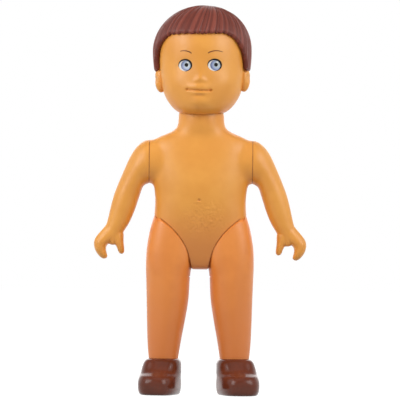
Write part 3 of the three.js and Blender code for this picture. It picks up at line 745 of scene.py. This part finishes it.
def hair():
    """The moulded hair: a ridged cap, thick and rounded at its edge."""
    marks, fine_marks = strand_marks(STRANDS, STRAND_SEED), strand_marks(FINE_STRANDS, FINE_SEED)
    draw = random.Random(LIFT_SEED)
    lift = [draw.uniform(0.35, 1) for _ in range(STRANDS)]
    drop = [draw.uniform(0.2, 1) for _ in range(STRANDS)]
    fine_lift = [draw.uniform(0.2, 1) for _ in range(FINE_STRANDS)]
    crown = CROWN.normalized()
    rings = [("outer", row / HAIR_ROWS, 0) for row in range(1, HAIR_ROWS + 1)]
    rings += [("rim", 1, math.pi * step / RIM_STEPS) for step in range(1, RIM_STEPS)]
    rings += [("inner", row / INNER_ROWS, 0) for row in range(INNER_ROWS, 0, -1)]
    mesh = bmesh.new()
    grid = [[] for _ in rings]
    values = {"relief": [], "tone": []}
    for column in range(HAIR_COLUMNS):
        bearing = 360 * column / HAIR_COLUMNS
        index, arch = strand_at(bearing, marks)
        fine_index, fine_arch = strand_at(bearing, fine_marks)
        ridge = 0.68 * arch * lift[index] + 0.32 * fine_arch * fine_lift[fine_index]
        tip = TIP_DROP * (drop[index] - arch)
        end_z = edge_height(bearing) + CAP_WALL / 2 + tip
        rise = (end_z - CAP_Z) / (CAP_RISE if end_z > CAP_Z else CAP_DROP)
        level = math.sqrt(1 - rise * rise)
        for ring, (kind, along, round_rim) in zip(grid, rings):
            sway = SWAY * math.sin(along * 3.1) * math.sin(math.radians(bearing * 2 + 40))
            relief = ridge * ease(along, 0.04, 0.4)
            heading = math.radians(bearing + sway)
            end = Vector((level * math.sin(heading), -level * math.cos(heading), rise))
            way = crown.slerp(end, along)
            outer = cap_point(way, STRAND_RIDGE * (1 - relief))
            inner = cap_point(way, CAP_WALL)
            if kind == "outer":
                place = outer
            elif kind == "inner":
                place = inner
            else:
                down = (cap_point(crown.slerp(end, 1.02), 0) - cap_point(end, 0)).normalized()
                half = (outer - inner) / 2
                place = (outer + inner) / 2 + half * math.cos(round_rim)
                place += down * half.length * math.sin(round_rim)
            ring.append(mesh.verts.new(place))
            values["relief"].append(relief)
            values["tone"].append(0.55 * lift[index] + 0.45 * fine_lift[fine_index])
    top = mesh.verts.new(cap_point(crown, STRAND_RIDGE))
    under = mesh.verts.new(cap_point(crown, CAP_WALL))
    for column in range(HAIR_COLUMNS):
        after = (column + 1) % HAIR_COLUMNS
        mesh.faces.new((top, grid[0][column], grid[0][after]))
        mesh.faces.new((under, grid[-1][after], grid[-1][column]))
        for upper, lower in zip(grid, grid[1:]):
            mesh.faces.new((upper[column], lower[column], lower[after], upper[after]))
    bmesh.ops.recalc_face_normals(mesh, faces=mesh.faces)
    data = bpy.data.meshes.new("hair")
    mesh.to_mesh(data)
    mesh.free()
    for name, row in values.items():
        row += (0.5, 0.5)  # the two middle points of the crown belong to no strand
        data.attributes.new(name, "FLOAT", "POINT").data.foreach_set("value", row)
    cap = bpy.data.objects.new("hair", data)
    link(cap)
    return cap


# Prints on the face

PRINT_PLANE = -40 * MM  # where a print starts from, in front of the face
PRINT_THICKNESS = 0.05 * MM
PRINT_SIDES = 96
FACING_FRONT = (math.pi / 2, 0, 0)
OVAL_CORE = 0.06  # the last ring of an oval, as a share of its size
LASH_OUTER, LASH_INNER = (3.6, 3.22), (3.06, 2.7)
LASH_SHIFT = (-0.3, -0.34)  # of the inner oval, so that the lash is thick above and to one side
LASH_OPEN = 0.8  # the cosine of half the angle that the lash leaves open
LASH_LIFT = 0.12
BROW_LIFT = 0.06
BROW_TAPER = 0.65

# Ink, shift sideways and up from the eye's middle, half width, half height and height above the face
EYE_OVALS = (
    ("white", 0, 0, 3.42, 3.06, 0.05),
    ("iris", 0.42, -0.2, 2.66, 2.62, 0.08),
    ("pupil", 0.6, 0.08, 0.95, 0.98, 0.11),
    ("glint", 1.3, 1.4, 0.55, 0.5, 0.13),
)


def wrap_on(piece, face, lift):
    """Turns a flat patch to the front, lays it this high on the face and gives it a thickness."""
    if sum(polygon.normal.y for polygon in piece.data.polygons) > 0:
        piece.data.flip_normals()
    add_modifier(
        piece, "onto_face", "SHRINKWRAP", target=face, wrap_method="PROJECT", wrap_mode="ABOVE_SURFACE",
        use_project_y=True, use_positive_direction=True, use_negative_direction=False, offset=lift * MM,
    )
    add_modifier(piece, "print", "SOLIDIFY", thickness=PRINT_THICKNESS, offset=-1)


def printed_ring(name, centre, outer, inner, shift, steps):
    """A flat ring in front of the face, from an outer to an inner oval that may lie off its middle."""
    middle = Vector((centre[0] * MM, PRINT_PLANE, centre[1] * MM))
    add = bpy.ops.mesh.primitive_circle_add
    patch = new_piece(add, vertices=PRINT_SIDES, radius=MM, location=middle, rotation=FACING_FRONT)
    patch.name = name
    set_place(patch)
    open_mesh(patch)
    pick_all()
    resize((outer[0], 1, outer[1]), middle)
    size, here = Vector(outer), middle
    for step in range(1, steps + 1):
        new_size = Vector(outer).lerp(Vector(inner), step / steps)
        bpy.ops.mesh.extrude_region_move()
        resize((new_size.x / size.x, 1, new_size.y / size.y), here)
        nudge = Vector((shift[0] * MM / steps, 0, shift[1] * MM / steps))
        move(nudge)
        size, here = new_size, here + nudge
    return patch


def oval(name, centre, half_width, half_height, face, lift):
    """A printed oval, filled ring by ring so that it can follow the face."""
    core = (half_width * OVAL_CORE, half_height * OVAL_CORE)
    patch = printed_ring(name, centre, (half_width, half_height), core, (0, 0), steps=7)
    bpy.ops.mesh.edge_face_add()
    bpy.ops.mesh.poke()
    close_outwards()
    wrap_on(patch, face, lift)
    return patch


def lash(name, centre, face):
    """A printed crescent: a ring that is left open where it is thinnest."""
    patch = printed_ring(name, centre, LASH_OUTER, LASH_INNER, LASH_SHIFT, steps=3)
    thin = Vector(LASH_SHIFT).normalized()
    middle = Vector(centre) * MM
    pick(patch, lambda p: (Vector((p.x, p.z)) - middle).normalized().dot(thin) > LASH_OPEN)
    bpy.ops.mesh.delete(type="VERT")
    close_outwards()
    wrap_on(patch, face, LASH_LIFT)
    return patch


def brow(name, inner, outer, arch, thick, face):
    """A printed eyebrow: an arched strip that is thickest at its inner end."""
    add, middle = bpy.ops.mesh.primitive_grid_add, (0, PRINT_PLANE, 0)
    cells = {"x_subdivisions": 28, "y_subdivisions": 4}
    strip = new_piece(add, size=2 * MM, location=middle, rotation=FACING_FRONT, **cells)
    strip.name = name
    set_place(strip)
    for vert in strip.data.vertices:
        share = (vert.co.x / MM + 1) / 2
        side = vert.co.z / MM
        ends = min(1, 14 * share + 0.25, 8 * (1 - share) + 0.1)  # rounds off both ends
        half = thick / 2 * (1 - BROW_TAPER * share) * ends
        x = inner[0] + (outer[0] - inner[0]) * share
        z = inner[1] + (outer[1] - inner[1]) * share + arch * 4 * share * (1 - share)
        vert.co.x, vert.co.z = x * MM, (z + side * half) * MM
    wrap_on(strip, face, BROW_LIFT)
    return strip


def eye(name, x, face):
    """One printed eye, looking a little to the doll's left: white, iris, pupil, glint and lash line."""
    prints = {}
    for ink, across, up, half_width, half_height, lift in EYE_OVALS:
        spot = (x + across, EYE_Z + up)
        prints[ink] = oval(f"{name}_{ink}", spot, half_width, half_height, face, lift)
    prints["lash"] = lash(name + "_lash", (x, EYE_Z), face)
    return prints


# Shoes

ANKLE_X = 18.1
TOE_OUT = math.radians(12)
HEEL_TAPER = ((4, 0.96), (7, 0.96), (10, 0.97))  # how the heel narrows behind each place
HEEL_TOP = 16 * MM
HEEL_FADE = 9 * MM
INNER_TUCK = 0.93  # how the inner side is drawn in, past an edge and below a top
INNER_EDGE = 7.5
INNER_TOP = 12 * MM
INNER_FADE = 6 * MM
ANKLE_SOCKET = ((16.6, 25.55, 10.65, 8.65, 8.65), (23, 25.9, 10.3, 8.9, 8.9))
SOLE_ROOM = (1.02, 1.015, 1.1)  # the room for the sole, against the sole's size

# Height, half width, reach to the toe and to the heel, and power
SHOE_RINGS = (
    (0, 8, 20.8, 9.6, 2.8),
    (0.05, 9.1, 23.2, 11.2, 2.8),
    (0.9, 9.9, 24.2, 12, 2.9),
    (3.5, 10.5, 24.6, 12.4, 3),
    (6.6, 10.6, 24.6, 12.4, 2.8),
    (8.7, 10.5, 23.9, 12.3, 2.4),
    (9.9, 10.55, 22.4, 12.3, 2.2),
    (10.6, 10.5, 20.2, 12.2, 2.2),
    (11.4, 10.5, 17.8, 12.2, 2.4),
    (13.2, 10.2, 15.4, 12, 2.6),
    (15.8, 9.6, 13.3, 11.7, 2.9),
    (17.5, 8.9, 11.8, 11, 2.8),
    (18.4, 8.1, 10.4, 10, 2.5),
    (18.6, 7.4, 8.6, 8.6, 2.3),
    (18.6, 4, 5, 5, 2.3),
)


def shoe():
    """One shoe: a thick toe block, a sloping vamp and a low collar round the ankle."""
    shell = ring_tower("left_shoe_skin", [upright(*ring, ANKLE_X) for ring in SHOE_RINGS])
    subdivide(shell, 3)
    open_mesh(shell)
    ankle = Vector((ANKLE_X * MM, MID_Y, 0))
    for start, share in HEEL_TAPER:
        pick(shell, lambda place: place.y > MID_Y + start * MM and place.z < HEEL_TOP)
        resize((share, 1, 1), ankle, **soft(HEEL_FADE))
    pick(shell, lambda place: place.x < (ANKLE_X - INNER_EDGE) * MM and place.z < INNER_TOP)
    resize((INNER_TUCK, 1, 1), ankle, **soft(INNER_FADE))
    pick_all()
    turn(TOE_OUT, "Z", ankle)
    close_mesh()
    cut(shell, ring_tower("ankle_socket", [leg_ring(*ring) for ring in ANKLE_SOCKET], 96))
    sole_room = twin(frame["nodes"]["sole_left"], "sole_room")
    middle = (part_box("sole_left")[0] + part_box("sole_left")[1]) / 2
    open_mesh(sole_room)
    pick_all()
    resize(SOLE_ROOM, (middle.x, middle.y, MM))
    close_mesh()
    cut(shell, sole_room)
    return shell


# Materials

TAN = ((0.88, 0.38, 0.062), (0.83, 0.34, 0.05))
GLOSS = (0.37, 0.46)
# Darker towards the lower belly: partly the stippled plastic's own tone, partly painted shade where the
# belly turns down
BELLY_TONE_AND_SHADE = (0.68, 0.24, 0.045)
BELLY_FADE = (0.074, 0.102)  # between these heights, in metres, that tone fades out
LEG_TONES = ((0.88, 0.292, 0.053), (0.82, 0.258, 0.045))
LEG_GLOSS = (0.38, 0.47)
SHIN_TONE = (0.74, 0.217, 0.043)
SHIN_FADE = (0.02, 0.075)
# painted shade in the mouth's groove
MOUTH_GROOVE_PAINTED_SHADE = (0.5, 0.18, 0.04)
# Painted shade in the narrow gaps of the shoulder and hip seams
PAINTED_SEAM_SHADE = (0.42, 0.125, 0.02)
PAINTED_SEAM_SHADE_SHARE = 0.9
SHOULDER_PAINTED_SHADE_REACH = 0.3 * MM  # how far the painted shade of a shoulder seam reaches
HIP_PAINTED_SHADE_REACH = 1.5 * SHOULDER_PAINTED_SHADE_REACH  # and that of a hip seam
HIP_PAINTED_SHADE_END = (0.0198, 0.021)  # where it ends, in metres from the middle plane
TONE_WAVES, GLOSS_WAVES, SKIN_WAVES = 70, 160, 900  # waves to the metre in moulded plastic
INK_GLOSS = (0.5, 0.6)
IRIS_MIDDLE = (0.64, 0.56, 0)  # the palest place, on the iris's own map
IRIS_STOPS = (
    (0.12, (0.5, 0.55, 0.58)),
    (0.3, (0.42, 0.49, 0.58)),
    (0.46, (0.22, 0.28, 0.52)),
    (0.58, (0.05, 0.07, 0.2)),
)


def new_material(name):
    material = bpy.data.materials.new(name)
    material.use_nodes = True
    tree = material.node_tree
    return material, tree, tree.nodes["Principled BSDF"]


def feed(tree, node, inputs):
    """Gives a node its inputs, each a value or another node's result."""
    for key, value in inputs.items():
        if isinstance(value, bpy.types.NodeSocket):
            tree.links.new(value, node.inputs[key])
        else:
            node.inputs[key].default_value = value


def result(tree, kind, output, inputs, **settings):
    """The result of a new node of a kind, with its inputs and settings."""
    node = tree.nodes.new("ShaderNode" + kind)
    for key, value in settings.items():
        setattr(node, key, value)
    feed(tree, node, inputs)
    return node.outputs[output]


def noise(tree, scale, detail, source=None):
    """Noise of so many waves to the metre."""
    if source is None:
        source = result(tree, "TexCoord", "Object", {})
    return result(tree, "TexNoise", "Fac", {"Scale": scale, "Detail": detail, "Vector": source})


def spread(tree, value, from_low, from_high, to_low, to_high):
    """Maps a value from one range to another, smoothly."""
    ends = {"From Min": from_low, "From Max": from_high, "To Min": to_low, "To Max": to_high}
    return result(tree, "MapRange", "Result", {"Value": value, **ends}, interpolation_type="SMOOTHSTEP")


def mix(tree, share, first, second):
    """Mixes two colours, each a value or a node's result."""
    pair = [(*colour, 1) if isinstance(colour, tuple) else colour for colour in (first, second)]
    return result(tree, "Mix", 2, {"Factor": share, 6: pair[0], 7: pair[1]}, data_type="RGBA")


def combine(tree, operation, first, second):
    """Two values worked into one."""
    return result(tree, "Math", "Value", {0: first, 1: second}, operation=operation)


def distance(tree, place, middle):
    return result(tree, "VectorMath", "Value", {0: place, 1: middle}, operation="DISTANCE")


def attribute(tree, name):
    """A value that the mesh carries at its points."""
    return result(tree, "Attribute", "Fac", {}, attribute_name=name)


def axis_value(tree, axis, name="Object"):
    """The place along one axis in metres, or in the world the way that a ray goes."""
    return result(tree, "SeparateXYZ", axis, {"Vector": result(tree, "TexCoord", name, {})})


def side_value(tree):
    """How far a place is from the middle plane, in metres."""
    return result(tree, "Math", "Value", {0: axis_value(tree, "X")}, operation="ABSOLUTE")


def hip_distance(tree):
    """How far a place is from the middle of the hip on its own side, in metres."""
    axes = {"X": side_value(tree), "Y": axis_value(tree, "Y"), "Z": axis_value(tree, "Z")}
    return distance(tree, result(tree, "CombineXYZ", "Vector", axes), HIP)


def uneven(tree, shader, scale, depth):
    """A slightly uneven moulded skin."""
    skin = {"Strength": 1, "Distance": depth, "Height": noise(tree, scale, 3)}
    feed(tree, shader, {"Normal": result(tree, "Bump", "Normal", skin)})


def moulded(name, pale, deep, gloss, skin=0.00002, shine=0.55):
    """Moulded plastic in two close tones, with soft differences in gloss and a fine uneven skin."""
    material, tree, shader = new_material(name)
    clouds = spread(tree, noise(tree, TONE_WAVES, 3), 0.35, 0.65, 0, 1)
    colour = mix(tree, clouds, deep, pale)
    rough = spread(tree, noise(tree, GLOSS_WAVES, 4), 0.3, 0.7, *gloss)
    feed(tree, shader, {"Base Color": colour, "Roughness": rough, "Specular IOR Level": shine})
    uneven(tree, shader, SKIN_WAVES, skin)
    return material, tree, shader


def tint(tree, shader, share, tone):
    """Lays another tone over a shader's colour, by its share at each place."""
    under = shader.inputs["Base Color"].links[0].from_socket
    feed(tree, shader, {"Base Color": mix(tree, share, under, tone)})


def trunk_plastic():
    """The tan plastic, which turns a deeper tone towards the lower belly, partly its own and partly
    painted shade, and has painted shade in the seams' gaps.
    """
    material, tree, shader = moulded("trunk_plastic", *TAN, GLOSS)
    # darker lower belly: partly the plastic's own tone, partly painted shade
    tint(tree, shader, spread(tree, axis_value(tree, "Z"), *BELLY_FADE, 1, 0), BELLY_TONE_AND_SHADE)
    # painted shade in the shoulder seam's gap
    seam_shade = spread(tree, side_value(tree), SHOULDER.x - SHOULDER_PAINTED_SHADE_REACH, SHOULDER.x, 0, PAINTED_SEAM_SHADE_SHARE)
    tint(tree, shader, seam_shade, PAINTED_SEAM_SHADE)
    # painted shade in the hip seam's gap, on the trunk's side nearer the middle
    rim = HIP_RADIUS + HIP_SEAM
    seam_shade = spread(tree, hip_distance(tree), rim, rim + HIP_PAINTED_SHADE_REACH, PAINTED_SEAM_SHADE_SHARE, 0)
    inside = spread(tree, side_value(tree), *HIP_PAINTED_SHADE_END, 1, 0)
    tint(tree, shader, combine(tree, "MULTIPLY", seam_shade, inside), PAINTED_SEAM_SHADE)
    return material


def arm_plastic():
    """The tan plastic, with painted shade in the seam's gap where the arm meets the shoulder."""
    material, tree, shader = moulded("body_plastic", *TAN, GLOSS)
    end = SHOULDER_FACE + SHOULDER_PAINTED_SHADE_REACH
    # painted shade in the shoulder seam's gap
    tint(tree, shader, spread(tree, side_value(tree), SHOULDER_FACE, end, PAINTED_SEAM_SHADE_SHARE, 0), PAINTED_SEAM_SHADE)
    return material


def face_plastic():
    """The tan plastic, with painted shade in the groove between the lips."""
    material, tree, shader = moulded("face_plastic", *TAN, GLOSS)
    # painted shade in the mouth's groove
    tint(tree, shader, spread(tree, attribute(tree, "mouth_shade_share"), 0.1, 1, 0, 0.4), MOUTH_GROOVE_PAINTED_SHADE)
    return material


def leg_plastic():
    """The legs' redder plastic, deepest at the shins."""
    material, tree, shader = moulded("leg_plastic", *LEG_TONES, LEG_GLOSS)
    tint(tree, shader, spread(tree, axis_value(tree, "Z"), *SHIN_FADE, 1, 0), SHIN_TONE)
    return material


def hair_plastic():
    """The brown hair plastic: painted shade in the grooves between the strands, which leaves them redder
    on their ridges.
    """
    material, tree, shader = new_material("hair_plastic")
    # painted shade in the grooves between the strands
    groove_shade = spread(tree, attribute(tree, "relief"), 0.15, 0.8, 1, 0)
    clouds = spread(tree, noise(tree, 90, 4), 0.35, 0.65, 0, 1)
    streak = spread(tree, attribute(tree, "tone"), 0.3, 0.95, 0, 1)
    base = mix(tree, streak, (0.2, 0.042, 0.025), (0.275, 0.064, 0.041))
    tone = mix(tree, spread(tree, clouds, 0, 1, 0, 0.4), base, (0.24, 0.052, 0.034))
    # painted shade in the grooves
    colour = mix(tree, groove_shade, tone, (0.15, 0.031, 0.02))
    rough = spread(tree, noise(tree, 220, 3), 0.3, 0.7, 0.36, 0.5)
    feed(tree, shader, {"Base Color": colour, "Roughness": rough, "Specular IOR Level": 0.32})
    uneven(tree, shader, 1400, 0.00003)
    return material


def print_ink(name, pale, deep):
    """Printed ink: nearly one tone, a little thinner here and there."""
    return moulded(name, pale, deep, INK_GLOSS, skin=0.000006, shine=0.15)[0]


def iris_ink():
    """The iris: pale round the pupil, blue outwards and dark at its rim, darkest on its right side."""
    material, tree, shader = new_material("iris_ink")
    place = result(tree, "UVMap", "UV", {}, uv_map="print")
    ramp = tree.nodes.new("ShaderNodeValToRGB")
    ends = ramp.color_ramp.elements
    for element, (position, colour) in zip((ends[0], ends[1]), (IRIS_STOPS[0], IRIS_STOPS[-1])):
        element.position = position
        element.color = (*colour, 1)
    for position, colour in IRIS_STOPS[1:-1]:
        ends.new(position).color = (*colour, 1)
    feed(tree, ramp, {"Fac": distance(tree, place, IRIS_MIDDLE)})
    flecks = spread(tree, noise(tree, 30, 3, place), 0.4, 0.7, 0, 0.18)
    colour = mix(tree, flecks, ramp.outputs["Color"], (0.7, 0.75, 0.75))
    rough = spread(tree, noise(tree, GLOSS_WAVES, 2), 0.3, 0.7, 0.22, 0.3)
    feed(tree, shader, {"Base Color": colour, "Roughness": rough})
    return material


def paint(piece, material):
    piece.data.materials.clear()
    piece.data.materials.append(material)


def lay_print_map(piece):
    """A flat map from the front, over the piece's own width and height."""
    xs = [vert.co.x for vert in piece.data.vertices]
    zs = [vert.co.z for vert in piece.data.vertices]
    layer = piece.data.uv_layers.new(name="print")
    for loop in piece.data.loops:
        place = piece.data.vertices[loop.vertex_index].co
        across = (place.x - min(xs)) / (max(xs) - min(xs))
        up = (place.z - min(zs)) / (max(zs) - min(zs))
        layer.data[loop.index].uv = (across, up)


# Putting the doll together

ARM = arm_plastic()
FACE = face_plastic()
TRUNK = trunk_plastic()
LEG = leg_plastic()
HAIR = hair_plastic()
SHOE_TONES = ((0.155, 0.034, 0.015), (0.12, 0.026, 0.011))
SHOE = moulded("shoe_plastic", *SHOE_TONES, (0.16, 0.21), skin=0.000004, shine=0.28)[0]
HUB = moulded("hub_plastic", (0.78, 0.71, 0.58), (0.7, 0.63, 0.5), (0.4, 0.55))[0]
INKS = {
    "white": print_ink("eye_white_ink", (0.88, 0.87, 0.84), (0.82, 0.8, 0.77)),
    "iris": iris_ink(),
    "pupil": print_ink("pupil_ink", (0.012, 0.011, 0.012), (0.008, 0.008, 0.009)),
    "glint": print_ink("glint_ink", (0.78, 0.8, 0.8), (0.72, 0.74, 0.75)),
    "lash": print_ink("lash_ink", (0.014, 0.01, 0.009), (0.01, 0.008, 0.007)),
    "brow": print_ink("brow_ink", (0.22, 0.075, 0.032), (0.17, 0.055, 0.024)),
}


def place(piece, material, body, slot, node=None, degrees=40):
    """Paints a finished piece and makes it move with its body."""
    face_outwards(piece)
    smooth_faces(piece, degrees)
    paint(piece, material)
    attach(piece, body)
    if node:
        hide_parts(node)


def dress_limbs():
    for make, part, material, slot in (
        (arm, "arm", ARM, "body_plastic"),
        (leg, "leg", LEG, "leg_plastic"),
        (shoe, "shoe", SHOE, "shoe_plastic"),
    ):
        left = make()
        right = mirror_image(left, f"right_{part}_skin")
        limb = "arm" if part == "arm" else "leg"
        place(left, material, "left_" + limb, slot, part + "_left")
        place(right, material, "right_" + limb, slot, part + "_right")


def dress_head():
    face = head()
    cap = hair()
    prints = []
    for name, x in (("eye_left", EYE_X), ("eye_right", -EYE_X)):
        inks = eye(name, x, face)
        lay_print_map(inks["iris"])
        for ink, patch in inks.items():
            paint(patch, INKS[ink])
        activate(inks["white"])
        for patch in inks.values():
            patch.select_set(True)
        bpy.ops.object.join()
        inks["white"].name = name
        prints.append(inks["white"])
    brows = (
        brow("brow_left", (4.1, 174.4), (11.9, 174.8), 1, 0.7, face),
        brow("brow_right", (-4.1, 174.4), (-10.3, 175.4), 0.8, 0.7, face),
    )
    for strip in brows:
        paint(strip, INKS["brow"])
        prints.append(strip)
    for piece in (face, cap, *prints):
        set_head(piece)
    low, high = (0, MID_Y, NECK_ROOM_LOW), (0, MID_Y, NECK.z + NECK_GAP)
    cut(face, rod(low, high, NECK_ROOM))
    place(face, FACE, "head", "body_plastic", "head_shell", 60)
    place(cap, HAIR, "head", "hair_plastic", "hair_cap", 50)
    for piece in prints:
        smooth_faces(piece, 30)
        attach(piece, "head")


FRONT, BACK = trunk()
place(FRONT, TRUNK, "torso", "body_plastic", "torso_front")
place(BACK, TRUNK, "torso", "body_plastic", "torso_back")
dress_limbs()
dress_head()
for node in ("neck_peg", "neck_socket"):
    paint(frame["nodes"][node], HUB)
for side in ("left", "right"):
    paint(frame["nodes"]["shoulder_hub_" + side], HUB)
    paint(frame["nodes"]["hip_hub_" + side], HUB)
    paint(frame["nodes"]["sole_" + side], SHOE)


# Stage, light and camera

MIDDLE_Z = 99.7 * MM
VIEW_DISTANCE = 2.6
VIEW_ROLL = math.radians(0.6)
VIEW_SIDE = -0.28 * MM
PHOTO_SPAN = 205.1 * MM  # what the photograph's width covers at the doll
SENSOR = 36
FLOOR_SIZE = 6
FLOOR_WHITE = 0.9
PAPER = ((0.34, 0.34, 0.34), (0.36, 0.36, 0.36))
WORLD_LIGHT = 0.3
CEILING = (0.2, 0.8)  # how steeply up the mirrored room turns from white to dark
LAMP_DISTANCE = 0.7

# Name, degrees round from the front, degrees up, size in metres and power in watts
LAMPS = (
    ("left_softbox", -56, 25, 0.42, 2.66),
    ("right_softbox", 56, 25, 0.42, 2.42),
    ("top_light", 0, 70, 0.6, 0.5),
    ("back_light", 180, 20, 0.6, 1.5),
    ("left_fill", -85, 40, 0.4, 0.5),
    ("right_fill", 85, 40, 0.4, 0.5),
)


def seen_directly(tree, mirrored=None):
    """1 for what the camera sees, also through a surface; for what it sees in one, the share mirrored."""
    ray = tree.nodes.new("ShaderNodeLightPath")
    glossy = ray.outputs["Is Glossy Ray"]
    if mirrored:
        glossy = combine(tree, "MULTIPLY", glossy, mirrored)
    total = combine(tree, "MAXIMUM", ray.outputs["Is Camera Ray"], glossy)
    return combine(tree, "MAXIMUM", total, ray.outputs["Is Transmission Ray"])


def floor():
    ground = new_piece(bpy.ops.mesh.primitive_plane_add, size=FLOOR_SIZE)
    ground.name = "floor"
    material, tree, shader = new_material("floor_paper")
    paper = mix(tree, noise(tree, 4, 2), *PAPER)
    feed(tree, shader, {"Base Color": paper, "Roughness": 0.95, "Specular IOR Level": 0})
    white = spread(tree, seen_directly(tree), 0, 1, 0, FLOOR_WHITE)
    feed(tree, shader, {"Emission Color": (1, 1, 1, 1), "Emission Strength": white})
    paint(ground, material)


def backdrop():
    """White to the camera, with a dark ceiling where it is mirrored, and a grey light to the rest."""
    world = bpy.data.worlds.new("studio")
    bpy.context.scene.world = world
    world.use_nodes = True
    tree = world.node_tree
    shade = tree.nodes["Background"]
    ceiling = spread(tree, axis_value(tree, "Z", "Generated"), *CEILING, 1, 0)
    strength = spread(tree, seen_directly(tree, ceiling), 0, 1, WORLD_LIGHT, 1)
    feed(tree, shade, {"Strength": strength, "Color": (1, 1, 1, 1)})


def soft_light(name, bearing, up, size, power):
    """A square soft light aimed at the doll's middle, by its angle round from the front."""
    away = math.cos(up) * LAMP_DISTANCE
    height = MIDDLE_Z + math.sin(up) * LAMP_DISTANCE
    place = Vector((math.sin(bearing) * away, -math.cos(bearing) * away, height))
    data = bpy.data.lights.new(name, "AREA")
    data.size = size
    data.energy = power
    lamp = bpy.data.objects.new(name, data)
    lamp.location = place
    lamp.rotation_euler = (Vector((0, 0, MIDDLE_Z)) - place).to_track_quat("-Z", "Y").to_euler()
    link(lamp)


def camera():
    target = Vector((VIEW_SIDE, 0, MIDDLE_Z))
    place = target + Vector((0, -VIEW_DISTANCE, 0))
    data = bpy.data.cameras.new("front")
    data.sensor_width = SENSOR
    data.lens = SENSOR * VIEW_DISTANCE / PHOTO_SPAN
    viewer = bpy.data.objects.new("front", data)
    look = (target - place).to_track_quat("-Z", "Y").to_matrix().to_4x4()
    viewer.matrix_world = Matrix.Translation(place) @ look @ Matrix.Rotation(VIEW_ROLL, 4, "Z")
    link(viewer)
    bpy.context.scene.camera = viewer


floor()
backdrop()
for name, bearing, up, size, power in LAMPS:
    soft_light(name, math.radians(bearing), math.radians(up), size, power)
camera()
bpy.context.scene.view_settings.view_transform = "Standard"
